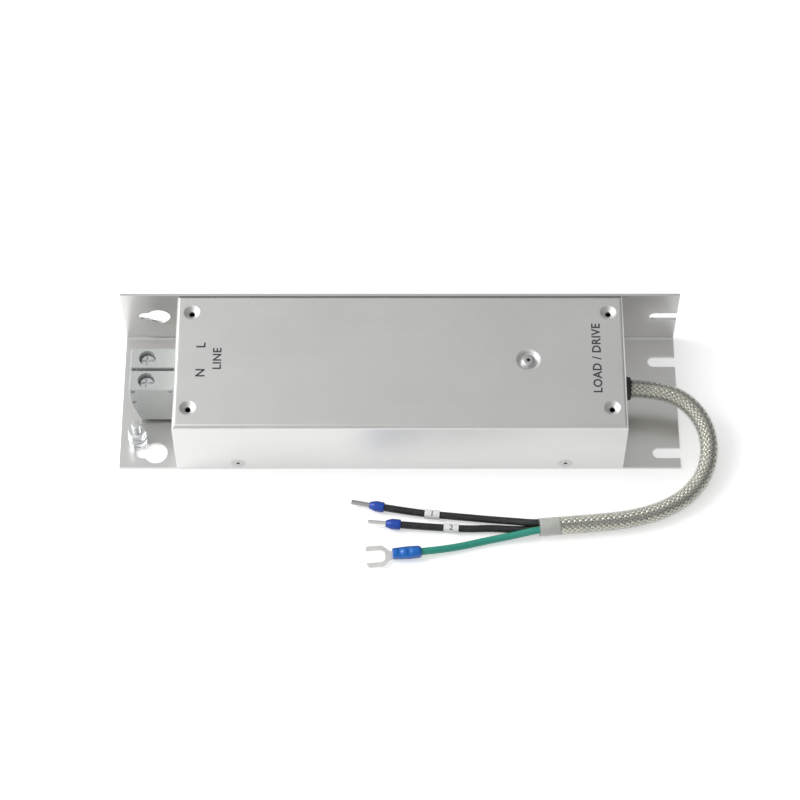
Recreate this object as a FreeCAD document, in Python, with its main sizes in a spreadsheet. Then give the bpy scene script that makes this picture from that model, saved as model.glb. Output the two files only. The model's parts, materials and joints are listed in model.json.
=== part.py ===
import FreeCAD, Part
import Sketcher
import math
import operator
import os
import types

# Single phase line filter in a folded sheet housing that mounts on its base or on its back wall.
# Frame: millimetres, X along the housing with the terminals at -X and the cable at +X, Y from the
# front wall to the back wall, Z up from the mounting surface, origin under the middle of the housing.

# Driving dimensions
SIZES = {
    # chassis: base plate, back wall and front lip, bent from one sheet
    "length": 250.0,
    "width": 69.0,
    "height": 37.0,
    "chassis_sheet": 1.2,
    "chassis_bend": 1.0,
    "lip_height": 9.0,
    "lip_end_gap": 2.5,
    "fixing_inset": 9.75,
    "front_fixing_inset": 7.5,
    "rear_fixing_inset": 14.0,
    "wall_fixing_level": 19.5,
    "slot_width": 5.2,
    "keyhole_bore": 10.3,
    "keyhole_travel": 6.3,
    # cover: lid, front wall, end walls and back flange, folded from one sheet
    "bay_length": 25.75,
    "cover_sheet": 1.0,
    "cover_bend": 2.0,
    "cover_lift": 0.3,
    "cover_flange": 12.0,
    "seam_gap": 0.3,
    # tapped dimples of the lid that carry the unit on top
    "carrier_end_inset": 6.75,
    "carrier_side_inset": 10.0,
    "carrier_thread_bore": 2.5,
    "carrier_dimple": 7.0,
    "carrier_dimple_depth": 1.7,
    "carrier_collar": 6.4,
    "carrier_collar_depth": 2.3,
    # rivets
    "rivet_shank": 3.2,
    "rivet_play": 0.1,
    "flush_head": 6.4,
    "flush_head_height": 0.9,
    "rivet_tail": 5.2,
    "rivet_tail_length": 2.6,
    "rivet_core": 1.5,
    "front_rivet_level": 5.1,
    "rivet_left_inset": 27.45,
    "rivet_right_inset": 25.85,
    "back_rivet_drop": 7.5,
    "lid_rivet_inset": 42.75,
    "lid_rivet_dimple": 9.6,
    "lid_rivet_floor": 7.2,
    "lid_rivet_depth": 1.2,
    "dome_head": 6.4,
    "dome_height": 1.1,
    # terminals
    "pole_pitch": 11.5,
    "pole_width": 10.1,
    "pole_reach": 20.3,
    "pole_top": 29.0,
    "pole_foot": 2.6,
    "pole_slope_level": 17.0,
    "pole_slope_run": 3.2,
    "pole_edge": 0.7,
    "neck_width": 8.2,
    "neck_low": 8.8,
    "neck_top": 22.0,
    "neck_play": 0.15,
    "tail_length": 13.0,
    "barb_rise": 1.2,
    "barb_length": 2.4,
    "screw_setback": 12.75,
    "screw_well": 7.3,
    "screw_well_floor": 24.4,
    "screw_head": 6.6,
    "screw_head_height": 2.2,
    "screw_shank": 4.0,
    "screw_tip_level": 15.9,
    "screw_slot": 0.9,
    "screw_slot_depth": 1.3,
    "cavity_width": 7.3,
    "cavity_low": 6.2,
    "cavity_top": 19.4,
    "cavity_depth": 14.5,
    "cage_width": 7.0,
    "cage_length": 8.6,
    "cage_wall": 1.1,
    "cage_play": 0.2,
    "bar_width": 4.6,
    "bar_thickness": 1.3,
    "bar_level": 14.4,
    "bar_inset": 4.2,
    "bar_tail": 3.5,
    "coupling_socket": 1.8,
    "coupling_depth": 0.8,
    "coupling_inset": 1.9,
    "coupling_low_level": 18.4,
    # earth stud and its fastenings
    "stud_x_inset": 8.1,
    "stud_front_inset": 13.3,
    "stud_diameter": 4.0,
    "stud_head": 6.2,
    "stud_head_height": 0.8,
    "stud_top": 16.5,
    "press_play": 0.03,
    "thread_play": 0.05,
    "nut_across_flats": 7.0,
    "nut_height": 3.2,
    "nut_chamfer": 0.45,
    "washer_outer": 8.6,
    "washer_thickness": 0.8,
    "washer_bore_play": 0.15,
    "lock_washer_outer": 8.0,
    "spring_washer_outer": 7.0,
    "lock_washer_thickness": 0.9,
    "lock_tooth": 0.9,
    # cable outlet
    "outlet_y": -3.3,
    "outlet_level": 17.5,
    "cable_diameter": 8.4,
    "bush_neck": 11.0,
    "bush_flange": 12.8,
    "bush_flange_thickness": 1.2,
    "bush_edge": 0.3,
    "bush_nose": 2.2,
    "bush_nose_end": 10.0,
    "bush_inner_length": 1.6,
    "bush_play": 0.05,
    "cable_inner_length": 13.0,
    # far end of the cable and its three leads
    "sleeve_wall": 0.35,
    "sleeve_free_length": 9.6,
    "lead_diameter": 3.2,
    "lead_spread": 1.9,
    "marker_wall": 0.42,
    "marker_length": 6.6,
    "marker_play": 0.08,
    "ferrule_length": 15.4,
    "collar_length": 6.6,
    "collar_mouth": 4.4,
    "collar_belly": 4.7,
    "collar_tail": 2.9,
    "collar_seat": 4.6,
    "ferrule_pin": 2.1,
    "pin_edge": 0.35,
    "fork_sleeve_length": 12.6,
    "fork_lead_run": 4.6,
    "fork_sleeve_belly": 5.8,
    "fork_sleeve_mouth": 4.7,
    "fork_barrel": 4.2,
    "fork_barrel_inset": 3.4,
    "fork_barrel_wall": 0.8,
    "fork_blade": 0.8,
    "fork_width": 10.6,
    "fork_slot": 5.6,
    "fork_neck": 4.4,
    "fork_reach": 11.6,
    "fork_slot_depth": 6.6,
    "fork_tip_chamfer": 0.9,
    "fork_shoulder": 1.2,
    "fork_shoulder_round": 1.0,
    "fork_crotch_round": 2.2,
    "fork_root": 3.0,
    # circuit board and what stands on it
    "board_left_gap": 17.25,
    "board_right_gap": 41.25,
    "board_side_gap": 6.5,
    "board_thickness": 1.6,
    "standoff_height": 6.0,
    "standoff_diameter": 6.0,
    "standoff_inset": 5.0,
    "board_screw": 3.0,
    "board_screw_head": 5.5,
    "board_screw_head_height": 2.0,
    "choke_share": 0.343,
    "choke_base_length": 37.0,
    "choke_base_thickness": 2.5,
    "choke_base_round": 2.0,
    "choke_ledge_drop": 0.5,
    "choke_post": 8.0,
    "core_outer": 30.0,
    "core_inner": 17.0,
    "core_height": 12.0,
    "core_edge": 1.0,
    "winding_thickness": 2.4,
    "winding_play": 0.1,
    "winding_angle": 146.0,
    "winding_round": 1.5,
    "film_length": 26.5,
    "film_width": 11.0,
    "film_height": 19.5,
    "film_in_share": 0.114,
    "film_out_share": 0.571,
    "earth_cap_length": 13.0,
    "earth_cap_width": 5.0,
    "earth_cap_height": 11.0,
    "earth_cap_share": 0.7,
    "earth_cap_pitch": 26.0,
    "case_edge": 0.8,
    "resistor_share": 0.8,
    "resistor_diameter": 3.6,
    "resistor_length": 9.5,
    "resistor_round": 0.6,
    "resistor_lead": 0.8,
    "resistor_span": 15.0,
    "link_diameter": 1.8,
    "link_run": 5.0,
    "inner_wire_inset": 6.0,
    "inner_wire_pitch": 8.0,
    "inner_wire_run": 9.0,
    "inner_wire_lean": 4.0,
    "inner_wire_rise": 9.5,
    # screen bracket that holds and earths the braid
    "bracket_sheet": 1.0,
    "bracket_width": 20.0,
    "bracket_lead_in": 6.0,
    "bracket_bend": 1.0,
    "saddle_width": 9.0,
    "saddle_sheet": 0.8,
    "saddle_screw": 2.9,
    "saddle_screw_head": 5.0,
    "saddle_screw_head_height": 1.8,
    "saddle_ear": 3.6,
    "saddle_grip": 0.05,
    "saddle_inset": 1.0,
    "saddle_round": 4.6,
    "saddle_screw_end": 1.5,
    # how far a cutting shape runs past the material
    "cut_over": 1.0,
}

doc = FreeCAD.newDocument("line_filter")
sheet = doc.addObject("Spreadsheet::Sheet", "sizes")
for row, (alias, number) in enumerate(SIZES.items(), start=1):
    sheet.set("A%d" % row, alias)
    sheet.set("B%d" % row, str(number))
    sheet.setAlias("B%d" % row, alias)
doc.recompute()


class Size:
    """A length of the sheet, or a sum or share of such lengths: its number and its formula."""

    def __init__(self, number, formula):
        self.number = number
        self.formula = formula

    def __add__(self, other):
        return combined(operator.add, self, "+", other)

    def __radd__(self, other):
        return combined(operator.add, other, "+", self)

    def __sub__(self, other):
        return combined(operator.sub, self, "-", other)

    def __rsub__(self, other):
        return combined(operator.sub, other, "-", self)

    def __mul__(self, other):
        return combined(operator.mul, self, "*", other)

    def __rmul__(self, other):
        return combined(operator.mul, other, "*", self)

    def __truediv__(self, other):
        return combined(operator.truediv, self, "/", other)

    def __neg__(self):
        return combined(operator.sub, 0, "-", self)


def as_size(item):
    if isinstance(item, Size):
        return item
    return Size(float(item), "%.6f" % item)


def combined(action, left, sign, right):
    left = as_size(left)
    right = as_size(right)
    formula = "(%s %s %s)" % (left.formula, sign, right.formula)
    return Size(action(left.number, right.number), formula)


dim = types.SimpleNamespace(**{a: Size(v, "sizes." + a) for a, v in SIZES.items()})


def bind(thing, name, size):
    thing.setExpression(name, as_size(size).formula)


# Sketches, whose points are tied to the sheet
class Drawing:
    """A sketch on one of its body's own origin planes, moved along that plane's normal."""

    def __init__(self, body, plane, name, lift=None):
        self.sketch = body.newObject("Sketcher::SketchObject", name)
        origin_planes = {f.Role: f for f in body.Origin.OriginFeatures}
        self.sketch.AttachmentSupport = (origin_planes[plane], "")
        self.sketch.MapMode = "FlatFace"
        if lift is not None:
            bind(self.sketch, "AttachmentOffset.Base.z", lift)
        self.count = 0

    def tie(self, kind, first, last, size):
        size = as_size(size)
        index = self.sketch.addConstraint(Sketcher.Constraint(kind, *first, *last, size.number))
        self.count += 1
        label = "size_%d" % self.count
        self.sketch.renameConstraint(index, label)
        self.sketch.setExpression("Constraints." + label, size.formula)

    def pin(self, curve, end, x, y):
        self.tie("DistanceX", (-1, 1), (curve, end), x)
        self.tie("DistanceY", (-1, 1), (curve, end), y)

    def circle(self, x, y, radius):
        x, y, radius = as_size(x), as_size(y), as_size(radius)
        centre = FreeCAD.Vector(x.number, y.number, 0)
        normal = FreeCAD.Vector(0, 0, 1)
        curve = self.sketch.addGeometry(Part.Circle(centre, normal, radius.number), False)
        self.pin(curve, 3, x, y)
        self.tie("Radius", (curve,), (), radius)
        return self

    def outline(self, corners):
        """A closed outline; a corner is (x, y), or (x, y, radius) where it is rounded."""
        sketch = self.sketch
        spots = [FreeCAD.Vector(as_size(c[0]).number, as_size(c[1]).number, 0) for c in corners]
        count = len(spots)
        cut_back = []
        for index, corner in enumerate(corners):
            if len(corner) == 2:
                cut_back.append(0.0)
                continue
            before = (spots[index - 1] - spots[index]).normalize()
            after = (spots[(index + 1) % count] - spots[index]).normalize()
            half = before.getAngle(after) / 2
            cut_back.append(as_size(corner[2]).number / math.tan(half))
        lines = []
        for index in range(count):
            start = spots[index]
            stop = spots[(index + 1) % count]
            along = (stop - start).normalize()
            segment = Part.LineSegment(
                start + along * cut_back[index], stop - along * cut_back[(index + 1) % count]
            )
            lines.append(sketch.addGeometry(segment, False))
        for index, corner in enumerate(corners):
            coming = lines[index - 1]
            leaving = lines[index]
            if len(corner) == 2:
                sketch.addConstraint(Sketcher.Constraint("Coincident", coming, 2, leaving, 1))
                self.pin(leaving, 1, corner[0], corner[1])
            else:
                self.round_corner(coming, leaving, spots[index], corner)
        return self

    def round_corner(self, coming, leaving, spot, corner):
        sketch = self.sketch
        radius = as_size(corner[2])
        first = sketch.getPoint(coming, 2)
        last = sketch.getPoint(leaving, 1)
        inward = ((first - spot).normalize() + (last - spot).normalize()).normalize()
        reach = math.hypot(radius.number, (first - spot).Length)
        middle = spot + inward * (reach - radius.number)
        arc = sketch.addGeometry(Part.Arc(first, middle, last), False)
        start_is_first = (sketch.getPoint(arc, 1) - first).Length < 1e-6
        ends = (1, 2) if start_is_first else (2, 1)
        sketch.addConstraint(Sketcher.Constraint("Tangent", coming, 2, arc, ends[0]))
        sketch.addConstraint(Sketcher.Constraint("Tangent", leaving, 1, arc, ends[1]))
        self.tie("Radius", (arc,), (), radius)
        point = sketch.addGeometry(Part.Point(spot), True)
        self.pin(point, 1, corner[0], corner[1])
        sketch.addConstraint(Sketcher.Constraint("PointOnObject", point, 1, coming))
        sketch.addConstraint(Sketcher.Constraint("PointOnObject", point, 1, leaving))

    def box(self, left, right, low, high):
        return self.outline([(left, low), (right, low), (right, high), (left, high)])


# Features, each checked to have added or removed material
def new_body(label, x=0, y=0, z=0, turn=None):
    body = doc.addObject("PartDesign::Body", label)
    body.Label = label
    if turn is not None:
        body.Placement.Rotation = FreeCAD.Rotation(*turn)
    for axis, place in (("x", x), ("y", y), ("z", z)):
        bind(body, "Placement.Base." + axis, place)
    return body


def volume_before(body):
    doc.recompute()
    return body.Tip.Shape.Volume if body.Tip is not None and body.Tip.Shape.Solids else 0.0


def finish_feature(body, feature, before, adds):
    doc.recompute()
    gained = feature.Shape.Volume - before
    if (gained <= 0) if adds else (gained >= 0):
        raise RuntimeError("%s of %s changed nothing" % (feature.Label, body.Label))
    return feature


def extrude(body, kind, drawing, length, side="One side", reverse=False, taper=None):
    before = volume_before(body)
    feature = body.newObject("PartDesign::" + kind, drawing.sketch.Name + "_" + kind.lower())
    feature.Profile = drawing.sketch
    if length is None:
        feature.Type = "ThroughAll"
    else:
        bind(feature, "Length", length)
    feature.SideType = side
    feature.Reversed = reverse
    if taper is not None:
        bind(feature, "TaperAngle", taper)
    return finish_feature(body, feature, before, kind == "Pad")


def pad(body, drawing, length, **options):
    return extrude(body, "Pad", drawing, length, **options)


def pocket(body, drawing, length=None, **options):
    return extrude(body, "Pocket", drawing, length, **options)


def through(body, drawing):
    return extrude(body, "Pocket", drawing, None, side="Symmetric")


def turn_profile(body, kind, drawing, axis, angle=360.0, middle=False):
    before = volume_before(body)
    feature = body.newObject("PartDesign::" + kind, drawing.sketch.Name + "_" + kind.lower())
    feature.Profile = drawing.sketch
    feature.ReferenceAxis = (drawing.sketch, [axis])
    feature.Midplane = middle
    bind(feature, "Angle", angle)
    return finish_feature(body, feature, before, kind == "Revolution")


def edges_of(shape, chosen):
    return ["Edge%d" % (i + 1) for i, edge in enumerate(shape.Edges) if chosen(edge)]


def dress(body, kind, name, size, chosen):
    """A fillet or chamfer on the edges of the body so far that the test chooses."""
    before = volume_before(body)
    base = body.Tip
    feature = body.newObject("PartDesign::" + kind, name)
    feature.Base = (base, edges_of(base.Shape, chosen))
    bind(feature, "Radius" if kind == "Fillet" else "Size", size)
    doc.recompute()
    if abs(feature.Shape.Volume - before) < 1e-9:
        raise RuntimeError("%s of %s changed nothing" % (name, body.Label))
    return feature


def repeat(body, originals, axis, spacing, reverse=False, count=2):
    """Copies in a row along one of the body's own axes, each a solid of its own where apart."""
    origin_axes = {f.Role: f for f in body.Origin.OriginFeatures}
    feature = body.newObject("PartDesign::LinearPattern", body.Name + "_row")
    feature.Originals = originals
    feature.Direction = (origin_axes[axis + "_Axis"], [""])
    feature.Reversed = reverse
    feature.Mode = "Spacing"
    bind(feature, "Offset", spacing)
    feature.Occurrences = count
    body.Tip = feature
    doc.recompute()
    return feature


def reaches(edge, axis, number, slack=1e-4):
    """True where both ends and the middle of an edge lie at one coordinate."""
    middle = edge.valueAt((edge.FirstParameter + edge.LastParameter) / 2)
    spots = [vertex.Point for vertex in edge.Vertexes] + [middle]
    return all(abs(getattr(spot, axis) - as_size(number).number) < slack for spot in spots)


# Places that several pieces share
over = dim.cut_over
half_length = dim.length / 2
half_width = dim.width / 2
half_body = half_length - dim.bay_length
base_top = dim.chassis_sheet
wall_inside = half_width - dim.chassis_sheet
lid_inside = dim.height - dim.cover_sheet
back_rivet_level = dim.height - dim.back_rivet_drop
lip_outside = -half_width + dim.cover_sheet
end_inside = half_body - dim.cover_sheet
front_row = -half_width + dim.front_fixing_inset
rear_row = half_width - dim.rear_fixing_inset
fixing_x = half_length - dim.fixing_inset
keyhole_x = -fixing_x + dim.keyhole_travel
rivet_left = -half_body + dim.rivet_left_inset
rivet_right = half_body - dim.rivet_right_inset
lid_rivet_x = half_body - dim.lid_rivet_inset
stud_x = -half_length + dim.stud_x_inset
stud_y = -half_width + dim.stud_front_inset
POLES = (("line", dim.pole_pitch / 2), ("neutral", -dim.pole_pitch / 2))


# Chassis: base plate and back wall are one bent profile, the front lip is bent up between the end
# walls of the cover and lies one cover sheet behind the front edge
chassis = new_body("chassis")
bend_out = dim.chassis_bend + dim.chassis_sheet
profile = Drawing(chassis, "YZ_Plane", "base_and_wall").outline([
    (-half_width, 0),
    (half_width, 0, bend_out),
    (half_width, dim.height),
    (wall_inside, dim.height),
    (wall_inside, base_top, dim.chassis_bend),
    (-half_width, base_top),
])
pad(chassis, profile, dim.length, side="Symmetric")
front_relief = Drawing(chassis, "XY_Plane", "front_relief").box(
    -half_body, half_body, -half_width - over, lip_outside + bend_out
)
through(chassis, front_relief)
lip = Drawing(chassis, "YZ_Plane", "front_lip").outline([
    (lip_outside + bend_out + dim.chassis_bend, 0),
    (lip_outside + bend_out + dim.chassis_bend, base_top),
    (lip_outside + dim.chassis_sheet, base_top, dim.chassis_bend),
    (lip_outside + dim.chassis_sheet, dim.lip_height),
    (lip_outside, dim.lip_height),
    (lip_outside, 0, bend_out),
])
pad(chassis, lip, 2 * (half_body - dim.lip_end_gap), side="Symmetric")


def fixing_openings(body, plane, keyhole_row, slot_rows):
    """A keyhole at the left and open slots at the right, cut through one wall of the chassis."""
    name = plane[:2].lower()
    slot_half = dim.slot_width / 2
    through(body, Drawing(body, plane, name + "_keyhole").circle(
        keyhole_x, keyhole_row, dim.keyhole_bore / 2))
    ends = Drawing(body, plane, name + "_slot_ends")
    ends.circle(-fixing_x, keyhole_row, slot_half)
    sides = Drawing(body, plane, name + "_slot_sides")
    sides.box(-fixing_x, keyhole_x, keyhole_row - slot_half, keyhole_row + slot_half)
    for row in slot_rows:
        ends.circle(fixing_x, row, slot_half)
        sides.box(fixing_x, half_length + over, row - slot_half, row + slot_half)
    through(body, ends)
    through(body, sides)


fixing_openings(chassis, "XY_Plane", front_row, (front_row, rear_row))
fixing_openings(chassis, "XZ_Plane", dim.wall_fixing_level, (dim.wall_fixing_level,))
rivet_hole = dim.rivet_shank / 2 + dim.rivet_play
lip_holes = Drawing(chassis, "XZ_Plane", "lip_rivet_holes", -lip_outside + over)
lip_holes.circle(rivet_left, dim.front_rivet_level, rivet_hole)
lip_holes.circle(rivet_right, dim.front_rivet_level, rivet_hole)
pocket(chassis, lip_holes, dim.chassis_sheet + 2 * over)


def slope_angle(spread, depth):
    """The taper in degrees of a cone whose radius changes by a spread over a depth."""
    return Size(
        math.degrees(math.atan(spread.number / depth.number)),
        "(atan(%s / %s) / 1deg)" % (spread.formula, depth.formula),
    )


def flush_holes(body, name, level, face, reverse):
    """Countersunk rivet holes in a wall, cut from its outer face inwards."""
    sink = Drawing(body, "XZ_Plane", name + "_sinks", -face)
    bores = Drawing(body, "XZ_Plane", name + "_bores", -face)
    for x in (rivet_left, rivet_right):
        sink.circle(x, level, dim.flush_head / 2 + dim.rivet_play)
        bores.circle(x, level, rivet_hole)
    angle = slope_angle((dim.flush_head - dim.rivet_shank) / 2, dim.flush_head_height)
    pocket(body, sink, dim.flush_head_height, reverse=reverse, taper=-angle)
    pocket(body, bores, dim.chassis_sheet + dim.cover_sheet, reverse=reverse)


flush_holes(chassis, "back", back_rivet_level, half_width, True)
stud_bore = Drawing(chassis, "XY_Plane", "stud_bore").circle(
    stud_x, stud_y, dim.stud_diameter / 2 + dim.press_play)
through(chassis, stud_bore)
stud_seat = Drawing(chassis, "XY_Plane", "stud_seat").circle(
    stud_x, stud_y, dim.stud_head / 2 + dim.press_play)
pocket(chassis, stud_seat, dim.stud_head_height, reverse=True)


# Cover: a folded box, open below, with bends along the four edges of its lid
cover = new_body("cover")
outside = Drawing(cover, "XY_Plane", "cover_outside", dim.cover_lift).box(
    -half_body, half_body, -half_width, wall_inside)
pad(cover, outside, dim.height - dim.cover_lift)
dress(cover, "Fillet", "lid_bends", dim.cover_bend, lambda edge: reaches(edge, "z", dim.height))
hollow = Drawing(cover, "XY_Plane", "cover_hollow", dim.cover_lift).box(
    -end_inside, end_inside, -half_width + dim.cover_sheet, wall_inside - dim.cover_sheet)
pocket(cover, hollow, lid_inside - dim.cover_lift, reverse=True)
dress(cover, "Fillet", "inner_bends", dim.cover_bend - dim.cover_sheet,
      lambda edge: reaches(edge, "z", lid_inside))
end_foot = Drawing(cover, "XZ_Plane", "end_feet", half_width - dim.cover_sheet)
end_foot.box(-half_body - over, half_body + over, -over, base_top)
pocket(cover, end_foot, dim.width + over)
open_back = Drawing(cover, "XZ_Plane", "open_back", -wall_inside - over)
open_back.box(-end_inside, end_inside, -over, dim.height - dim.cover_flange)
pocket(cover, open_back, dim.cover_sheet + over, reverse=True)
seams = Drawing(cover, "XY_Plane", "corner_seams", -over)
front_inside = -half_width + dim.cover_sheet
for near, far in ((-half_body - over, -end_inside), (end_inside, half_body + over)):
    seams.box(near, far, front_inside, front_inside + dim.seam_gap)
pocket(cover, seams, dim.height - dim.cover_bend + over, reverse=True)


def carrier_spots(drawing, radius):
    reach_x = half_body - dim.carrier_end_inset
    reach_y = half_width - dim.carrier_side_inset
    for x in (-reach_x, reach_x):
        for y in (-reach_y, reach_y):
            drawing.circle(x, y, radius)
    return drawing


collars = carrier_spots(Drawing(cover, "XY_Plane", "carrier_collars", lid_inside), dim.carrier_collar / 2)
pad(cover, collars, dim.carrier_collar_depth, reverse=True)
cones = carrier_spots(Drawing(cover, "XY_Plane", "carrier_dimples", dim.height), dim.carrier_dimple / 2)
cone_taper = slope_angle((dim.carrier_dimple - dim.carrier_thread_bore) / 2, dim.carrier_dimple_depth)
pocket(cover, cones, dim.carrier_dimple_depth, taper=-cone_taper)
threads = carrier_spots(Drawing(cover, "XY_Plane", "carrier_threads"), dim.carrier_thread_bore / 2)
through(cover, threads)

dish_taper = slope_angle((dim.lid_rivet_dimple - dim.lid_rivet_floor) / 2, dim.lid_rivet_depth)
dish_under = Drawing(cover, "XY_Plane", "dish_under", lid_inside).circle(
    lid_rivet_x, 0, dim.lid_rivet_dimple / 2 + dim.cover_sheet / 2)
pad(cover, dish_under, dim.lid_rivet_depth, reverse=True, taper=-dish_taper)
dish = Drawing(cover, "XY_Plane", "dish", dim.height).circle(lid_rivet_x, 0, dim.lid_rivet_dimple / 2)
pocket(cover, dish, dim.lid_rivet_depth, taper=-dish_taper)
through(cover, Drawing(cover, "XY_Plane", "lid_rivet_hole").circle(lid_rivet_x, 0, rivet_hole))

flush_holes(cover, "front", dim.front_rivet_level, -half_width, False)
flange_holes = Drawing(cover, "XZ_Plane", "flange_rivet_holes", -wall_inside - over)
flange_holes.circle(rivet_left, back_rivet_level, rivet_hole)
flange_holes.circle(rivet_right, back_rivet_level, rivet_hole)
pocket(cover, flange_holes, dim.cover_sheet + 2 * over, reverse=True)
windows = Drawing(cover, "YZ_Plane", "terminal_windows", -half_body - over)
for pole, y in POLES:
    windows.box(
        y - dim.neck_width / 2 - dim.neck_play,
        y + dim.neck_width / 2 + dim.neck_play,
        dim.neck_low - dim.neck_play,
        dim.neck_top + dim.neck_play,
    )
pocket(cover, windows, dim.cover_sheet + 2 * over, reverse=True)
outlet = Drawing(cover, "YZ_Plane", "cable_outlet", half_body + over).circle(
    dim.outlet_y, dim.outlet_level, dim.bush_neck / 2 + dim.bush_play)
pocket(cover, outlet, dim.cover_sheet + 2 * over)


# Countersunk blind rivets, two in the front wall and two in the back wall
def flush_rivets(label, y, level, tip):
    """Heads flush with the outer face, tails set against the second sheet; tip is +1 or -1 in Y."""
    body = new_body(label, x=rivet_left, y=y, z=level)
    shank = dim.rivet_shank / 2
    stack = dim.cover_sheet + dim.chassis_sheet
    axis_end = stack + dim.rivet_tail_length
    rivet = Drawing(body, "XY_Plane", label + "_section").outline([
        (dim.rivet_core / 2, 0),
        (dim.flush_head / 2, 0),
        (shank, tip * dim.flush_head_height),
        (shank, tip * stack),
        (dim.rivet_tail / 2, tip * stack),
        (dim.rivet_tail / 2, tip * (stack + dim.rivet_tail_length * 0.6)),
        (shank, tip * axis_end),
        (dim.rivet_core / 2, tip * axis_end),
    ])
    turned = turn_profile(body, "Revolution", rivet, "V_Axis")
    repeat(body, [turned], "X", rivet_right - rivet_left)
    return body


flush_rivets("front_rivets", -half_width, dim.front_rivet_level, 1)
flush_rivets("back_rivets", half_width, back_rivet_level, -1)

# Dome head blind rivet in the dish of the lid, which also holds the screen bracket
dish_floor = dim.height - dim.lid_rivet_depth
bracket_top = lid_inside - dim.lid_rivet_depth
bracket_low = bracket_top - dim.bracket_sheet
lid_rivet = new_body("lid_rivet", x=lid_rivet_x, z=dish_floor)
tail_low = bracket_low - dish_floor
lid_section = Drawing(lid_rivet, "XZ_Plane", "lid_rivet_section").outline([
    (dim.rivet_core / 2, tail_low - dim.rivet_tail_length),
    (dim.rivet_shank / 2, tail_low - dim.rivet_tail_length),
    (dim.rivet_tail / 2, tail_low - dim.rivet_tail_length * 0.6),
    (dim.rivet_tail / 2, tail_low),
    (dim.rivet_shank / 2, tail_low),
    (dim.rivet_shank / 2, 0),
    (dim.dome_head / 2, 0),
    (dim.dome_head / 2, dim.dome_height * 0.35),
    (dim.dome_head / 2 - dim.dome_height * 0.6, dim.dome_height * 0.85),
    (dim.dome_head / 4, dim.dome_height),
    (dim.rivet_core / 2, dim.dome_height),
])
turn_profile(lid_rivet, "Revolution", lid_section, "V_Axis")


# Terminals: two panel feed-through housings, each with a rising cage, its screw and a current bar
screw_x = -half_body - dim.screw_setback
pole_face = -half_body - dim.pole_reach
tail_end = -end_inside + dim.tail_length
cage_low = dim.cavity_low + dim.cage_play
cage_top = dim.cavity_top - dim.cage_play


def terminal_housing(pole, y):
    body = new_body("terminal_housing_" + pole, y=y)
    shell = Drawing(body, "XZ_Plane", "shell_" + pole).outline([
        (-half_body, dim.pole_foot),
        (-half_body, dim.pole_top),
        (pole_face, dim.pole_top),
        (pole_face, dim.pole_slope_level),
        (pole_face + dim.pole_slope_run, dim.pole_foot),
    ])
    pad(body, shell, dim.pole_width, side="Symmetric")
    wall = as_size(-half_body).number
    dress(body, "Fillet", "soft_edges_" + pole, dim.pole_edge,
          lambda edge: edge.CenterOfMass.x < wall - 1e-3)
    neck = Drawing(body, "XZ_Plane", "neck_" + pole).outline([
        (-half_body - over, dim.neck_low),
        (-end_inside, dim.neck_low),
        (-end_inside, dim.neck_low - dim.barb_rise),
        (-end_inside + dim.barb_length, dim.neck_low),
        (tail_end, dim.neck_low),
        (tail_end, dim.neck_top),
        (-end_inside + dim.barb_length, dim.neck_top),
        (-end_inside, dim.neck_top + dim.barb_rise),
        (-end_inside, dim.neck_top),
        (-half_body - over, dim.neck_top),
    ])
    pad(body, neck, dim.neck_width, side="Symmetric")
    cavity = Drawing(body, "YZ_Plane", "cavity_" + pole, pole_face - over)
    cavity.box(-dim.cavity_width / 2, dim.cavity_width / 2, dim.cavity_low, dim.cavity_top)
    pocket(body, cavity, dim.cavity_depth + over, reverse=True)
    well = Drawing(body, "XY_Plane", "screw_well_" + pole, dim.pole_top + over)
    well.circle(screw_x, 0, dim.screw_well / 2)
    pocket(body, well, dim.pole_top + over - dim.screw_well_floor)
    shaft = Drawing(body, "XY_Plane", "screw_shaft_" + pole, dim.pole_top)
    shaft.circle(screw_x, 0, dim.screw_shank / 2 + dim.cage_play)
    pocket(body, shaft, dim.pole_top - dim.cavity_top + over)
    lane = Drawing(body, "YZ_Plane", "bar_lane_" + pole, pole_face + dim.cavity_depth - over)
    lane.box(-dim.bar_width / 2, dim.bar_width / 2, dim.bar_level, dim.bar_level + dim.bar_thickness)
    pocket(body, lane, -pole_face - dim.cavity_depth + over + tail_end + over, reverse=True)
    sockets = Drawing(body, "XZ_Plane", "coupling_" + pole, dim.pole_width / 2 + over)
    socket_radius = dim.coupling_socket / 2
    sockets.circle(pole_face + dim.coupling_inset, dim.pole_top - dim.coupling_inset, socket_radius)
    sockets.circle(-half_body - dim.coupling_inset, dim.pole_top - dim.coupling_inset, socket_radius)
    sockets.circle(pole_face + dim.coupling_inset, dim.coupling_low_level, socket_radius)
    pocket(body, sockets, dim.coupling_depth + over)
    return body


def terminal_cage(pole, y):
    body = new_body("terminal_cage_" + pole, x=screw_x, y=y)
    half = dim.cage_width / 2
    frame = Drawing(body, "YZ_Plane", "cage_" + pole)
    frame.box(-half, half, cage_low, cage_top)
    inside = half - dim.cage_wall
    frame.box(-inside, inside, cage_low + dim.cage_wall, cage_top - 2 * dim.cage_wall)
    pad(body, frame, dim.cage_length, side="Symmetric")
    thread = Drawing(body, "XY_Plane", "cage_thread_" + pole, cage_top + over)
    thread.circle(0, 0, dim.screw_shank / 2 + dim.thread_play)
    pocket(body, thread, 3 * dim.cage_wall + over)
    return body


def current_bar(pole, y):
    body = new_body("current_bar_" + pole, y=y)
    strip = Drawing(body, "XZ_Plane", "strip_" + pole).outline([
        (pole_face + dim.bar_inset, dim.bar_level),
        (tail_end + dim.bar_tail, dim.bar_level),
        (tail_end + dim.bar_tail, dim.bar_level + dim.bar_thickness),
        (pole_face + dim.bar_inset, dim.bar_level + dim.bar_thickness),
    ])
    pad(body, strip, dim.bar_width, side="Symmetric")
    return body


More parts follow.
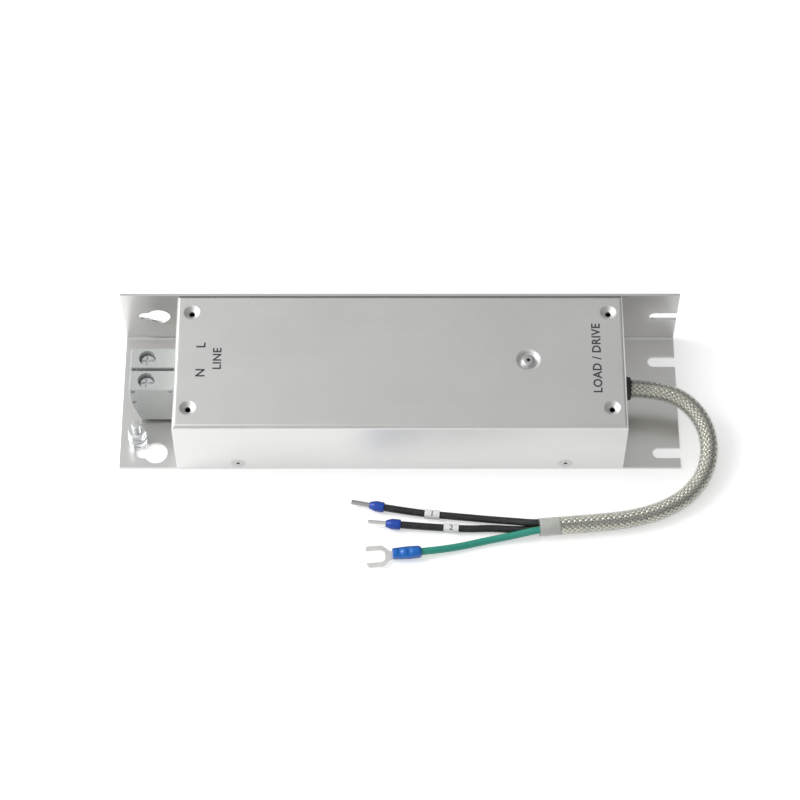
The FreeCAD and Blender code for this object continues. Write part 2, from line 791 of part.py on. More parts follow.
for pole, y in POLES:
    terminal_housing(pole, y)
    terminal_cage(pole, y)
    current_bar(pole, y)

screws = new_body("terminal_screws", x=screw_x, y=-dim.pole_pitch / 2, z=dim.screw_well_floor)
screw_section = Drawing(screws, "XZ_Plane", "terminal_screw_section").outline([
    (0, dim.screw_tip_level - dim.screw_well_floor),
    (dim.screw_shank / 2, dim.screw_tip_level - dim.screw_well_floor),
    (dim.screw_shank / 2, 0),
    (dim.screw_head / 2, 0),
    (dim.screw_head / 2, dim.screw_head_height * 0.75),
    (dim.screw_head / 2 - dim.screw_head_height * 0.25, dim.screw_head_height),
    (0, dim.screw_head_height),
])
screw_turned = turn_profile(screws, "Revolution", screw_section, "V_Axis")
cross = Drawing(screws, "XY_Plane", "terminal_screw_slot", dim.screw_head_height + over)
cross.box(-dim.screw_head / 2 - over, dim.screw_head / 2 + over, -dim.screw_slot / 2, dim.screw_slot / 2)
screw_cut = pocket(screws, cross, dim.screw_slot_depth + over)
repeat(screws, [screw_turned, screw_cut], "Y", dim.pole_pitch)


# Earth stud, pressed into the base plate, and its washers and nuts from the plate upwards
stud = new_body("earth_stud", x=stud_x, y=stud_y)
stud_section = Drawing(stud, "XZ_Plane", "stud_section").outline([
    (0, 0),
    (dim.stud_head / 2, 0),
    (dim.stud_head / 2, dim.stud_head_height),
    (dim.stud_diameter / 2, dim.stud_head_height),
    (dim.stud_diameter / 2, dim.stud_top - dim.nut_chamfer),
    (dim.stud_diameter / 2 - dim.nut_chamfer, dim.stud_top),
    (0, dim.stud_top),
])
turn_profile(stud, "Revolution", stud_section, "V_Axis")


def ring(label, low, outer, bore, thickness):
    body = new_body(label, x=stud_x, y=stud_y, z=low)
    section = Drawing(body, "XY_Plane", label + "_ring").circle(0, 0, outer / 2).circle(0, 0, bore / 2)
    return body, pad(body, section, thickness)


def lock_teeth(body, outer, thickness, tooth):
    """Notches round the rim of a lock washer."""
    notch = Drawing(body, "XY_Plane", body.Label + "_notch", -over)
    notch.outline([
        (outer / 2 - tooth, 0),
        (outer / 2 + over, -tooth * 0.5),
        (outer / 2 + over, tooth * 0.5),
    ])
    cut = pocket(body, notch, thickness + 2 * over, reverse=True)
    around = body.newObject("PartDesign::PolarPattern", body.Label + "_teeth")
    around.Originals = [cut]
    around.Axis = ({f.Role: f for f in body.Origin.OriginFeatures}["Z_Axis"], [""])
    around.Angle = 360
    around.Occurrences = 10
    body.Tip = around
    doc.recompute()


def hex_nut(body, name, low):
    across = dim.nut_across_flats / 2
    side = across * (1 / math.cos(math.radians(30)))
    corners = []
    for step in range(6):
        turn = math.radians(60 * step)
        corners.append((side * math.cos(turn), side * math.sin(turn)))
    prism = Drawing(body, "XY_Plane", name + "_prism", low).outline(corners)
    prism.circle(0, 0, dim.stud_diameter / 2 + dim.thread_play)
    solid = pad(body, prism, dim.nut_height)
    edge = Drawing(body, "XZ_Plane", name + "_edges")
    for level, way in ((low, 1), (low + dim.nut_height, -1)):
        edge.outline([
            (across, level),
            (side + over, level),
            (side + over, level + way * (side + over - across) * 0.577),
        ])
    return solid, turn_profile(body, "Groove", edge, "V_Axis")


washer_bore = dim.stud_diameter + 2 * dim.washer_bore_play
level = base_top
lock_thickness = dim.lock_washer_thickness
lower_lock = ring("earth_lock_washer", level, dim.lock_washer_outer, washer_bore, lock_thickness)[0]
lock_teeth(lower_lock, dim.lock_washer_outer, lock_thickness, dim.lock_tooth)
level = level + lock_thickness
nut_pitch = dim.nut_height + 2 * dim.washer_thickness + lock_thickness
nuts = new_body("earth_nuts", x=stud_x, y=stud_y, z=level)
nut_features = hex_nut(nuts, "earth_nut", 0)
repeat(nuts, list(nut_features), "Z", nut_pitch)
level = level + dim.nut_height
washers, washer_pad = ring("earth_washers", level, dim.washer_outer, washer_bore, dim.washer_thickness)
repeat(washers, [washer_pad], "Z", dim.washer_thickness + lock_thickness)
level = level + dim.washer_thickness
upper_lock = ring("earth_spring_washer", level, dim.spring_washer_outer, washer_bore, lock_thickness)[0]
split = Drawing(upper_lock, "XY_Plane", "spring_split", -over).outline([
    (dim.stud_diameter / 4, 0),
    (dim.lock_washer_outer, -dim.lock_tooth),
    (dim.lock_washer_outer, -dim.lock_tooth * 0.5),
    (dim.stud_diameter / 4, dim.lock_tooth * 0.5),
])
pocket(upper_lock, split, dim.lock_washer_thickness + 2 * over, reverse=True)


# Cable bush: a grommet whose groove holds the end wall, with a short nose outside
bush = new_body("cable_bush", x=half_body, y=dim.outlet_y, z=dim.outlet_level)
cable_radius = dim.cable_diameter / 2
bush_bore = cable_radius + dim.bush_play
nose_start = dim.bush_flange_thickness
bush_end = nose_start + dim.bush_nose
inner_end = -dim.cover_sheet - dim.bush_inner_length
bush_section = Drawing(bush, "XZ_Plane", "bush_section").outline([
    (inner_end, bush_bore),
    (bush_end, bush_bore),
    (bush_end, dim.bush_nose_end / 2),
    (nose_start, dim.bush_neck / 2),
    (nose_start - dim.bush_edge, dim.bush_flange / 2),
    (0, dim.bush_flange / 2),
    (0, dim.bush_neck / 2),
    (-dim.cover_sheet, dim.bush_neck / 2),
    (-dim.cover_sheet, dim.bush_flange / 2),
    (inner_end, dim.bush_neck / 2),
])
turn_profile(bush, "Revolution", bush_section, "H_Axis")

# Held end of the cable, through the bush and under the saddle
cable_start = half_body + bush_end
cable_inner = half_body - dim.cable_inner_length
held = new_body("cable_held_end", y=dim.outlet_y, z=dim.outlet_level)
held_section = Drawing(held, "YZ_Plane", "held_section", cable_inner).circle(0, 0, cable_radius)
pad(held, held_section, cable_start - cable_inner)


# Cords: straight runs joined by tangent arcs
def place(x, y, z):
    return FreeCAD.Vector(as_size(x).number, as_size(y).number, as_size(z).number)


def route_wire(points, share=0.45):
    """The path through a route's points, each rounded as far as its two runs allow."""
    path = []
    radii = []
    start = points[0]
    for before, corner, after in zip(points, points[1:], points[2:]):
        coming = (corner - before).normalize()
        leaving = (after - corner).normalize()
        turn = coming.getAngle(leaving)
        reach = share * min((corner - before).Length, (after - corner).Length)
        radius = reach / math.tan(turn / 2)
        first = corner - coming * reach
        last = corner + leaving * reach
        inward = (leaving - coming).normalize()
        middle = corner + inward * (math.hypot(radius, reach) - radius)
        path.append(Part.LineSegment(start, first).toShape())
        path.append(Part.Arc(first, middle, last).toShape())
        radii.append(radius)
        start = last
    path.append(Part.LineSegment(start, points[-1]).toShape())
    return Part.Wire(path), radii


def tube(label, points, diameter, report=True):
    """A round tube of its own along a route, checked against section times length."""
    wire, radii = route_wire(points)
    along = (points[1] - points[0]).normalize()
    circle = Part.Wire([Part.Circle(points[0], along, diameter.number / 2).toShape()])
    solid = wire.makePipeShell([circle], True, False)
    expected = wire.Length * math.pi * diameter.number ** 2 / 4
    if abs(solid.Volume - expected) > 0.01 * expected:
        raise RuntimeError("the tube of %s has volume %.1f, not %.1f" % (label, solid.Volume, expected))
    feature = doc.addObject("Part::Feature", label)
    feature.Label = label
    feature.Shape = solid
    feature.Placement = FreeCAD.Placement()
    if report:
        runs = [(b - a).Length for a, b in zip(points, points[1:])]
        print(label, "length %.1f" % wire.Length,
              "radii", " ".join("%.1f" % r for r in radii),
              "runs", " ".join("%.1f" % r for r in runs))
    return feature


# Points beyond the mouth of the bush, measured from the middle of that mouth and from the surface
def beyond_bush(x, y, z):
    return FreeCAD.Vector(cable_start.number + x, dim.outlet_y.number + y, z)


# The screened cable leaves the bush, swings round to the front and comes down on the surface
CABLE_ROUTE = [
    beyond_bush(0.0, 0.0, dim.outlet_level.number),
    beyond_bush(14.25, -0.2, 17.0),
    beyond_bush(27.15, -7.0, 13.7),
    beyond_bush(34.45, -19.6, 9.4),
    beyond_bush(33.75, -34.9, 6.0),
    beyond_bush(25.95, -47.5, 4.5),
    beyond_bush(13.05, -55.0, 4.3),
    beyond_bush(-1.35, -58.7, 4.3),
    beyond_bush(-17.05, -60.6, 4.3),
    beyond_bush(-32.35, -61.9, 4.3),
]
tube("screened_cable", CABLE_ROUTE, dim.cable_diameter)

# The clear sleeve runs on past the braid, round the three leads
cable_end = CABLE_ROUTE[-1]
sleeve_way = (cable_end - CABLE_ROUTE[-2]).normalize()
sideways = FreeCAD.Vector(0, 0, 1).cross(sleeve_way)


def along_axis(label, spot, way):
    """A body whose own X axis points the given way from a spot."""
    body = doc.addObject("PartDesign::Body", label)
    body.Label = label
    body.Placement = FreeCAD.Placement(spot, FreeCAD.Rotation(FreeCAD.Vector(1, 0, 0), way))
    return body


end_sleeve = along_axis("end_sleeve", cable_end, sleeve_way)
sleeve_ring = Drawing(end_sleeve, "YZ_Plane", "sleeve_ring")
sleeve_ring.circle(0, 0, cable_radius).circle(0, 0, cable_radius - dim.sleeve_wall)
pad(end_sleeve, sleeve_ring, dim.sleeve_free_length)


def lead_start(turn_degrees):
    """Where a conductor leaves the braid, on a circle about the cable's axis."""
    turn = math.radians(turn_degrees)
    spread = dim.lead_spread.number
    return cable_end + sideways * (spread * math.cos(turn)) + FreeCAD.Vector(0, 0, spread * math.sin(turn))


# Leads, from the braid to the point where each enters its end piece
lead_radius = dim.lead_diameter / 2
marker_radius = lead_radius + dim.marker_play + dim.marker_wall
BLACK_ONE_ROUTE = [
    lead_start(150),
    beyond_bush(-41.85, -61.10, 5.0),
    beyond_bush(-51.65, -59.40, 3.4),
    beyond_bush(-62.15, -57.90, 2.2),
    beyond_bush(-73.65, -56.70, 2.1),
    beyond_bush(-96.15, -54.40, 2.1),
    beyond_bush(-114.15, -51.10, 2.5),
]
BLACK_TWO_ROUTE = [
    lead_start(-90),
    beyond_bush(-41.85, -62.90, 2.25),
    beyond_bush(-52.65, -62.60, 1.8),
    beyond_bush(-62.65, -62.00, 2.0),
    beyond_bush(-72.65, -62.50, 2.1),
    beyond_bush(-90.65, -61.40, 2.1),
    beyond_bush(-106.95, -60.10, 2.5),
]
fork_mouth = beyond_bush(-93.35, -73.9, dim.fork_sleeve_belly.number / 2)
fork_way = FreeCAD.Vector(-1, -0.09, 0).normalize()
EARTH_ROUTE = [
    lead_start(30),
    beyond_bush(-41.85, -64.70, 5.0),
    beyond_bush(-51.65, -65.90, 3.2),
    beyond_bush(-64.15, -67.90, 1.8),
    beyond_bush(-76.65, -71.10, 2.0),
    fork_mouth - fork_way * dim.fork_lead_run.number,
    fork_mouth + fork_way * dim.fork_barrel_inset.number,
]
tube("black_lead_one", BLACK_ONE_ROUTE, dim.lead_diameter)
tube("black_lead_two", BLACK_TWO_ROUTE, dim.lead_diameter)
tube("earth_lead", EARTH_ROUTE, dim.lead_diameter)


def wire_marker(label, route, run, share):
    """A short white sleeve over the middle of one straight run of a lead."""
    start, stop = route[run], route[run + 1]
    way = (stop - start).normalize()
    spot = start + (stop - start) * share - way * (dim.marker_length.number / 2)
    body = along_axis(label, spot, way)
    section = Drawing(body, "YZ_Plane", label + "_ring")
    section.circle(0, 0, marker_radius).circle(0, 0, lead_radius + dim.marker_play)
    pad(body, section, dim.marker_length)


wire_marker("wire_marker_one", BLACK_ONE_ROUTE, 4, 0.66)
wire_marker("wire_marker_two", BLACK_TWO_ROUTE, 4, 0.42)


def ferrule(number, route):
    """A crimped pin and its collar; the lead's insulation ends on the seat inside the collar."""
    way = (route[-1] - route[-2]).normalize()
    mouth = route[-1] - way * dim.collar_seat.number
    collar = along_axis("ferrule_collar_" + number, mouth, way)
    bore = lead_radius + dim.thread_play
    pin_bore = dim.ferrule_pin / 2 + dim.thread_play
    section = Drawing(collar, "XY_Plane", "collar_section_" + number).outline([
        (0, bore),
        (0, dim.collar_mouth / 2),
        (dim.collar_length * 0.18, dim.collar_belly / 2),
        (dim.collar_length * 0.6, dim.collar_belly / 2),
        (dim.collar_length, dim.collar_tail / 2),
        (dim.collar_length, pin_bore),
        (dim.collar_seat + dim.thread_play, pin_bore),
        (dim.collar_seat + dim.thread_play, bore),
    ])
    turn_profile(collar, "Revolution", section, "H_Axis")
    pin = along_axis("ferrule_pin_" + number, mouth, way)
    half = dim.ferrule_pin / 2
    pin_section = Drawing(pin, "XY_Plane", "pin_section_" + number).outline([
        (dim.collar_seat + dim.thread_play, 0),
        (dim.collar_seat + dim.thread_play, half),
        (dim.ferrule_length - dim.pin_edge, half),
        (dim.ferrule_length, half - dim.pin_edge),
        (dim.ferrule_length, 0),
    ])
    turn_profile(pin, "Revolution", pin_section, "H_Axis")


ferrule("one", BLACK_ONE_ROUTE)
ferrule("two", BLACK_TWO_ROUTE)

# Fork terminal of the earth lead, level, with its blue sleeve over the barrel
barrel_low = -dim.fork_barrel / 2
blade_low = barrel_low + dim.fork_barrel_wall * 0.2
fork = along_axis("fork_terminal", fork_mouth, fork_way)
barrel_start = dim.fork_barrel_inset
barrel_end = dim.fork_sleeve_length - dim.fork_barrel_wall
barrel = Drawing(fork, "YZ_Plane", "barrel", barrel_start)
barrel.circle(0, 0, dim.fork_barrel / 2).circle(0, 0, dim.fork_barrel / 2 - dim.fork_barrel_wall)
pad(fork, barrel, barrel_end - barrel_start)
tip = dim.fork_sleeve_length + dim.fork_reach
crotch = tip - dim.fork_slot_depth
half_blade = dim.fork_width / 2
half_slot = dim.fork_slot / 2
neck_half = dim.fork_neck / 2
shoulder = dim.fork_sleeve_length + dim.fork_shoulder
crotch_round = dim.fork_crotch_round
outer_corner = crotch - dim.fork_barrel_wall
inner_corner = crotch - 2 * dim.fork_barrel_wall
blade_root = barrel_end - dim.fork_root
blade = Drawing(fork, "XY_Plane", "blade", blade_low).outline([
    (blade_root, -neck_half * 0.7),
    (shoulder, -neck_half, dim.fork_shoulder_round),
    (outer_corner, -half_blade, crotch_round),
    (tip - dim.fork_tip_chamfer, -half_blade),
    (tip, -half_blade + dim.fork_tip_chamfer),
    (tip, -half_slot),
    (inner_corner, -half_slot, crotch_round),
    (inner_corner, half_slot, crotch_round),
    (tip, half_slot),
    (tip, half_blade - dim.fork_tip_chamfer),
    (tip - dim.fork_tip_chamfer, half_blade),
    (outer_corner, half_blade, crotch_round),
    (shoulder, neck_half, dim.fork_shoulder_round),
    (blade_root, neck_half * 0.7),
])
pad(fork, blade, dim.fork_blade)
fork_sleeve = along_axis("fork_sleeve", fork_mouth, fork_way)
sleeve_bore = dim.fork_barrel / 2 + dim.thread_play
sleeve_section = Drawing(fork_sleeve, "XY_Plane", "fork_sleeve_section").outline([
    (0, sleeve_bore),
    (0, dim.fork_sleeve_mouth / 2),
    (dim.fork_sleeve_length * 0.22, dim.fork_sleeve_belly / 2),
    (dim.fork_sleeve_length, dim.fork_sleeve_belly / 2),
    (dim.fork_sleeve_length, sleeve_bore),
])
turn_profile(fork_sleeve, "Revolution", sleeve_section, "H_Axis")


# Circuit board on four standoffs, with their screws
board_low = base_top + dim.standoff_height
board_top = board_low + dim.board_thickness
board_left = -half_body + dim.board_left_gap
board_right = half_body - dim.board_right_gap
board_length = board_right - board_left
board_middle = (board_left + board_right) / 2
board_half_width = half_width - dim.board_side_gap
stand_x = board_length / 2 - dim.standoff_inset
stand_y = board_half_width - dim.standoff_inset
choke_x = board_left + board_length * dim.choke_share


def four_corners(drawing, radius):
    for x in (-stand_x, stand_x):
        for y in (-stand_y, stand_y):
            drawing.circle(x, y, radius)
    return drawing


board = new_body("circuit_board", x=board_middle, z=board_low)
board_plan = Drawing(board, "XY_Plane", "board_plan").box(
    -board_length / 2, board_length / 2, -board_half_width, board_half_width)
four_corners(board_plan, dim.board_screw / 2 + dim.rivet_play)
pad(board, board_plan, dim.board_thickness)

standoffs = new_body("board_standoffs", x=board_middle, z=base_top)
post_plan = four_corners(Drawing(standoffs, "XY_Plane", "standoff_plan"), dim.standoff_diameter / 2)
four_corners(post_plan, dim.board_screw / 2 + dim.thread_play)
pad(standoffs, post_plan, dim.standoff_height)

board_screws = new_body("board_screws", x=board_middle, z=board_top)
shank_plan = four_corners(Drawing(board_screws, "XY_Plane", "screw_shanks"), dim.board_screw / 2)
pad(board_screws, shank_plan, dim.board_thickness + dim.standoff_height * 0.7, reverse=True)
head_plan = four_corners(Drawing(board_screws, "XY_Plane", "screw_heads"), dim.board_screw_head / 2)
pad(board_screws, head_plan, dim.board_screw_head_height)

# Common mode choke: ring core on a base with a post, and two windings on opposite sides
choke_low = board_top + dim.choke_base_thickness
wound = dim.winding_thickness + dim.winding_play
choke_base = new_body("choke_base", x=choke_x, z=board_top)
base_plan = Drawing(choke_base, "XY_Plane", "choke_base_plan")
half_base = dim.choke_base_length / 2
base_plan.outline([
    (-half_base, -half_base, dim.choke_base_round), (half_base, -half_base, dim.choke_base_round),
    (half_base, half_base, dim.choke_base_round), (-half_base, half_base, dim.choke_base_round),
])
pad(choke_base, base_plan, dim.choke_base_thickness)
post = Drawing(choke_base, "XY_Plane", "choke_post_plan").circle(0, 0, dim.choke_post / 2)
pad(choke_base, post, dim.choke_base_thickness + dim.core_height)
ledge = Drawing(choke_base, "XZ_Plane", "core_ledges")
for way in (-1, 1):
    inner = dim.core_inner / 2
    outer = dim.core_outer / 2
    ledge.outline([
        (way * inner, dim.choke_base_thickness - dim.choke_ledge_drop),
        (way * outer, dim.choke_base_thickness - dim.choke_ledge_drop),
        (way * outer, dim.choke_base_thickness + wound),
        (way * inner, dim.choke_base_thickness + wound),
    ])
pad(choke_base, ledge, dim.choke_post / 4, side="Symmetric")

core = new_body("choke_core", x=choke_x, z=choke_low + wound)
core_section = Drawing(core, "XZ_Plane", "core_section").box(
    dim.core_inner / 2, dim.core_outer / 2, 0, dim.core_height)
turn_profile(core, "Revolution", core_section, "V_Axis")
dress(core, "Chamfer", "core_edges", dim.core_edge,
      lambda edge: reaches(edge, "z", 0) or reaches(edge, "z", dim.core_height))


def winding(label, degrees):
    body = new_body(label, x=choke_x, z=choke_low + wound, turn=(FreeCAD.Vector(0, 0, 1), degrees))
    play = dim.winding_play
    thick = play + dim.winding_thickness
    section = Drawing(body, "XZ_Plane", label + "_section")
    section.outline([
        (dim.core_inner / 2 - thick, -thick, dim.winding_round),
        (dim.core_outer / 2 + thick, -thick, dim.winding_round),
        (dim.core_outer / 2 + thick, dim.core_height + thick, dim.winding_round),
        (dim.core_inner / 2 - thick, dim.core_height + thick, dim.winding_round),
    ])
    section.box(dim.core_inner / 2 - play, dim.core_outer / 2 + play, -play, dim.core_height + play)
    turn_profile(body, "Revolution", section, "V_Axis", angle=dim.winding_angle, middle=True)


winding("choke_winding_line", 90)
winding("choke_winding_neutral", -90)


def boxed_part(label, share, y, across, along, high):
    """A capacitor in a moulded case that stands on the board, at a share of the board's length."""
    body = new_body(label, x=board_left + board_length * share, y=y, z=board_top)
    case = Drawing(body, "XY_Plane", label + "_case").box(-across / 2, across / 2, -along / 2, along / 2)
    pad(body, case, high)
    dress(body, "Fillet", label + "_edges", dim.case_edge,
          lambda edge: abs(edge.Vertexes[0].Z - edge.Vertexes[-1].Z) > 1.0)
    return body


boxed_part("line_capacitor_in", dim.film_in_share, 0, dim.film_width, dim.film_length, dim.film_height)
boxed_part("line_capacitor_out", dim.film_out_share, 0, dim.film_width, dim.film_length, dim.film_height)
for side, way in (("line", 1), ("neutral", -1)):
    boxed_part("earth_capacitor_" + side, dim.earth_cap_share, way * dim.earth_cap_pitch / 2,
               dim.earth_cap_width, dim.earth_cap_length, dim.earth_cap_height)

# Bleed resistor, lying across the board on its two leads
resistor_x = board_left + board_length * dim.resistor_share
resistor = new_body("bleed_resistor", x=resistor_x, z=board_top + dim.resistor_diameter / 2)
resistor_section = Drawing(resistor, "XY_Plane", "resistor_section").outline([
    (0, -dim.resistor_length / 2),
    (dim.resistor_diameter / 2, -dim.resistor_length / 2, dim.resistor_round),
    (dim.resistor_diameter / 2, dim.resistor_length / 2, dim.resistor_round),
    (0, dim.resistor_length / 2),
])
turn_profile(resistor, "Revolution", resistor_section, "V_Axis")
lead_bar = Drawing(resistor, "XZ_Plane", "resistor_leads").circle(0, 0, dim.resistor_lead / 2)
pad(resistor, lead_bar, dim.resistor_span, side="Symmetric")
foot_plan = Drawing(resistor, "XY_Plane", "resistor_feet", -dim.resistor_diameter / 2)
for way in (-1, 1):
    foot_plan.circle(0, way * (dim.resistor_span / 2 - dim.resistor_lead / 2), dim.resistor_lead / 2)
pad(resistor, foot_plan, dim.resistor_diameter / 2 + dim.resistor_lead / 2)

# Links from the current bars down to the board
bar_end = tail_end + dim.bar_tail
bar_middle = dim.bar_level + dim.bar_thickness / 2
for pole, y in POLES:
    link_x = bar_end + dim.link_run
    tube("link_" + pole, [
        place(bar_end, y, bar_middle), place(link_x, y, bar_middle), place(link_x, y, board_top),
    ], dim.link_diameter, report=False)

# Screen bracket under the lid rivet: it runs to the cable and ends in a seat on top of the braid
seat_top = dim.outlet_level + cable_radius + dim.saddle_grip + dim.bracket_sheet
seat_left = cable_inner + dim.saddle_inset
seat_right = seat_left + dim.saddle_width
bracket = new_body("screen_bracket", y=dim.outlet_y)
thick = dim.bracket_sheet
bend_in = dim.bracket_bend
bend_far = dim.bracket_bend + dim.bracket_sheet
bracket_profile = Drawing(bracket, "XZ_Plane", "bracket_profile").outline([
    (lid_rivet_x - dim.bracket_lead_in, bracket_low),
    (lid_rivet_x - dim.bracket_lead_in, bracket_top),
    (seat_left, bracket_top, bend_far),
    (seat_left, seat_top, bend_in),
    (seat_right, seat_top),
    (seat_right, seat_top - thick),
    (seat_left - thick, seat_top - thick, bend_far),
    (seat_left - thick, bracket_low, bend_in),
])
pad(bracket, bracket_profile, dim.bracket_width, side="Symmetric")
rivet_eye = Drawing(bracket, "XY_Plane", "bracket_eye", bracket_top + over)
rivet_eye.circle(lid_rivet_x, -dim.outlet_y, rivet_hole)
pocket(bracket, rivet_eye, dim.bracket_sheet + 2 * over)
ear_y = cable_radius + dim.saddle_sheet + dim.saddle_ear
seat_holes = Drawing(bracket, "XY_Plane", "seat_holes", seat_top + over)
screw_mid = (seat_left + seat_right) / 2
for way in (-1, 1):
    seat_holes.circle(screw_mid, way * ear_y, dim.saddle_screw / 2 + dim.thread_play)
pocket(bracket, seat_holes, dim.bracket_sheet + 2 * over)

# Saddle under the braid, drawn up to the seat by two screws
saddle = new_body("screen_saddle", x=screw_mid, y=dim.outlet_y)
seat_low = seat_top - dim.bracket_sheet
hug = cable_radius + dim.saddle_grip
strap_low = dim.outlet_level - hug - dim.saddle_sheet
ear_end = ear_y + dim.saddle_ear
strap = Drawing(saddle, "YZ_Plane", "saddle_profile").outline([
    (-ear_end, seat_low), (-ear_end, seat_low - dim.saddle_sheet),
    (-hug - dim.saddle_sheet, seat_low - dim.saddle_sheet),
    (-hug - dim.saddle_sheet, strap_low, dim.saddle_round),
    (hug + dim.saddle_sheet, strap_low, dim.saddle_round),
    (hug + dim.saddle_sheet, seat_low - dim.saddle_sheet),
    (ear_end, seat_low - dim.saddle_sheet), (ear_end, seat_low),
    (hug, seat_low), (hug, dim.outlet_level - hug, dim.saddle_round - dim.saddle_sheet),
    (-hug, dim.outlet_level - hug, dim.saddle_round - dim.saddle_sheet), (-hug, seat_low),
])
pad(saddle, strap, dim.saddle_width * 0.8, side="Symmetric")
ear_holes = Drawing(saddle, "XY_Plane", "ear_holes", seat_low + over)
for way in (-1, 1):
    ear_holes.circle(0, way * ear_y, dim.saddle_screw / 2 + dim.thread_play)
pocket(saddle, ear_holes, dim.saddle_sheet + 2 * over)
saddle_screws = new_body("saddle_screws", x=screw_mid, y=dim.outlet_y, z=seat_low - dim.saddle_sheet)
shanks = Drawing(saddle_screws, "XY_Plane", "saddle_shanks")
heads = Drawing(saddle_screws, "XY_Plane", "saddle_heads")
for way in (-1, 1):
    shanks.circle(0, way * ear_y, dim.saddle_screw / 2)
    heads.circle(0, way * ear_y, dim.saddle_screw_head / 2)
pad(saddle_screws, shanks, dim.saddle_sheet + dim.bracket_sheet + dim.saddle_screw_end)
pad(saddle_screws, heads, dim.saddle_screw_head_height, reverse=True)

# Inner ends of the three conductors, from the held end of the cable to the board
inner_x = board_right - dim.inner_wire_inset
for name, degrees, way in (("line", 30, 1), ("neutral", 150, -1), ("earth", 270, 0)):
    start_y = dim.outlet_y + dim.lead_spread * math.cos(math.radians(degrees))
    start_z = dim.outlet_level + dim.lead_spread * math.sin(math.radians(degrees))
    end_y = dim.inner_wire_pitch * way
    tube("inner_wire_" + name, [
        place(cable_inner, start_y, start_z),
        place(cable_inner - dim.inner_wire_run, start_y, start_z),
        place(inner_x + dim.inner_wire_lean, end_y, board_top + dim.inner_wire_rise),
        place(inner_x, end_y, board_top),
    ], dim.lead_diameter, report=False)


# Every feature has to be sound before anything is written
doc.recompute()
for item in doc.Objects:
    bad = {"Invalid", "Error"} & set(item.State)
    if bad:
        raise RuntimeError("%s of the document is %s" % (item.Label, ", ".join(sorted(bad))))

os.makedirs("parts", exist_ok=True)
pieces = [
    item for item in doc.Objects
    if item.TypeId in ("PartDesign::Body", "Part::Feature")
]
for piece in pieces:
    if piece.Shape.isNull() or not piece.Shape.isValid() or not piece.Shape.Solids:
        raise RuntimeError("%s has no sound shape" % piece.Label)
    piece.Shape.exportStep("parts/%s.step" % piece.Label)
    print("%-26s solids %d volume %.1f" % (piece.Label, len(piece.Shape.Solids), piece.Shape.Volume))
print(len(pieces), "nodes")
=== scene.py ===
import json
import math

import bmesh
import bpy
from mathutils import Matrix, Vector


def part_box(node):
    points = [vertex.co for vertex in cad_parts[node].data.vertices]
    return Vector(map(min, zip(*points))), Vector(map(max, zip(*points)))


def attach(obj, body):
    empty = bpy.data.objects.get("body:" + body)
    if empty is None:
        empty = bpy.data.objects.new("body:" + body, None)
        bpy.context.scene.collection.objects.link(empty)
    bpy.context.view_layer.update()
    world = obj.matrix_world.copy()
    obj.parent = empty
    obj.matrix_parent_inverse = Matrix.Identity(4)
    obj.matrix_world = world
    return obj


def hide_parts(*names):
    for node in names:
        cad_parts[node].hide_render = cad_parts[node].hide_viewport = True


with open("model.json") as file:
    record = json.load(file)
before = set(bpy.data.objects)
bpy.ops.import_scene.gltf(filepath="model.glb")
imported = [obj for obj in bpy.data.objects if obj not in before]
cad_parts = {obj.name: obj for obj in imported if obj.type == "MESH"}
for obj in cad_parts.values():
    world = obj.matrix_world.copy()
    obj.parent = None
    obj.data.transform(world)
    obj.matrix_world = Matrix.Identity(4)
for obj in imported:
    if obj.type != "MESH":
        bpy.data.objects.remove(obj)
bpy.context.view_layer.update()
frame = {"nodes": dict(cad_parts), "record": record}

scene = bpy.context.scene
scene.view_settings.view_transform = "Standard"

# Camera
# A long lens stands in front of the filter and looks steeply down on it, so that the lid is seen
# almost square and the front wall as a narrow strip.
eye_distance = 1.1871
eye_elevation = math.radians(59.32)
aim_elevation = math.radians(59.70)
seen_point = Vector((0.0, -0.0015, 0.020))
eye_way = Vector((0.0, -math.cos(eye_elevation), math.sin(eye_elevation)))
camera_data = bpy.data.cameras.new("camera")
camera_data.lens = 120.04
camera_data.sensor_width = 36.0
camera_data.clip_start = 0.05
camera_data.clip_end = 20.0
camera = bpy.data.objects.new("camera", camera_data)
scene.collection.objects.link(camera)
camera.location = seen_point + eye_distance * eye_way
camera.rotation_euler = (math.pi / 2 - aim_elevation, 0.0, 0.0)
scene.camera = camera


# Screened cable
# Three conductors lie in a triangle under a braid of tinned copper, and a clear soft sleeve is
# drawn over the braid. The cable leaves the bush, swings round to the front and lies down.
def centreline(name, route):
    """The points along a smooth spline through a route, read from the spline itself."""
    curve = bpy.data.curves.new(name, "CURVE")
    curve.dimensions = "3D"
    curve.resolution_u = 24
    spline = curve.splines.new("NURBS")
    spline.points.add(len(route) - 1)
    for point, place in zip(spline.points, route):
        point.co = (*place, 1.0)
    spline.order_u = 3
    spline.use_endpoint_u = True
    carrier = bpy.data.objects.new(name, curve)
    mesh = bpy.data.meshes.new_from_object(carrier)
    line = [vertex.co.copy() for vertex in mesh.vertices]
    bpy.data.objects.remove(carrier)
    bpy.data.meshes.remove(mesh)
    bpy.data.curves.remove(curve)
    return line


def line_length(line):
    return sum((b - a).length for a, b in zip(line, line[1:]))


class Station:
    """A point of a cord with its own side and top directions and its distance along the cord."""

    def __init__(self, spot, ahead, top, along):
        self.spot = spot
        self.along = along
        self.face(ahead, top)

    def face(self, ahead, top):
        """Points the station along the cord and squares its top and side to that."""
        self.ahead = ahead
        self.top = (top - ahead * top.dot(ahead)).normalized()
        self.side = self.ahead.cross(self.top)

    def at(self, angle, radius):
        return self.spot + radius * (math.cos(angle) * self.side + math.sin(angle) * self.top)


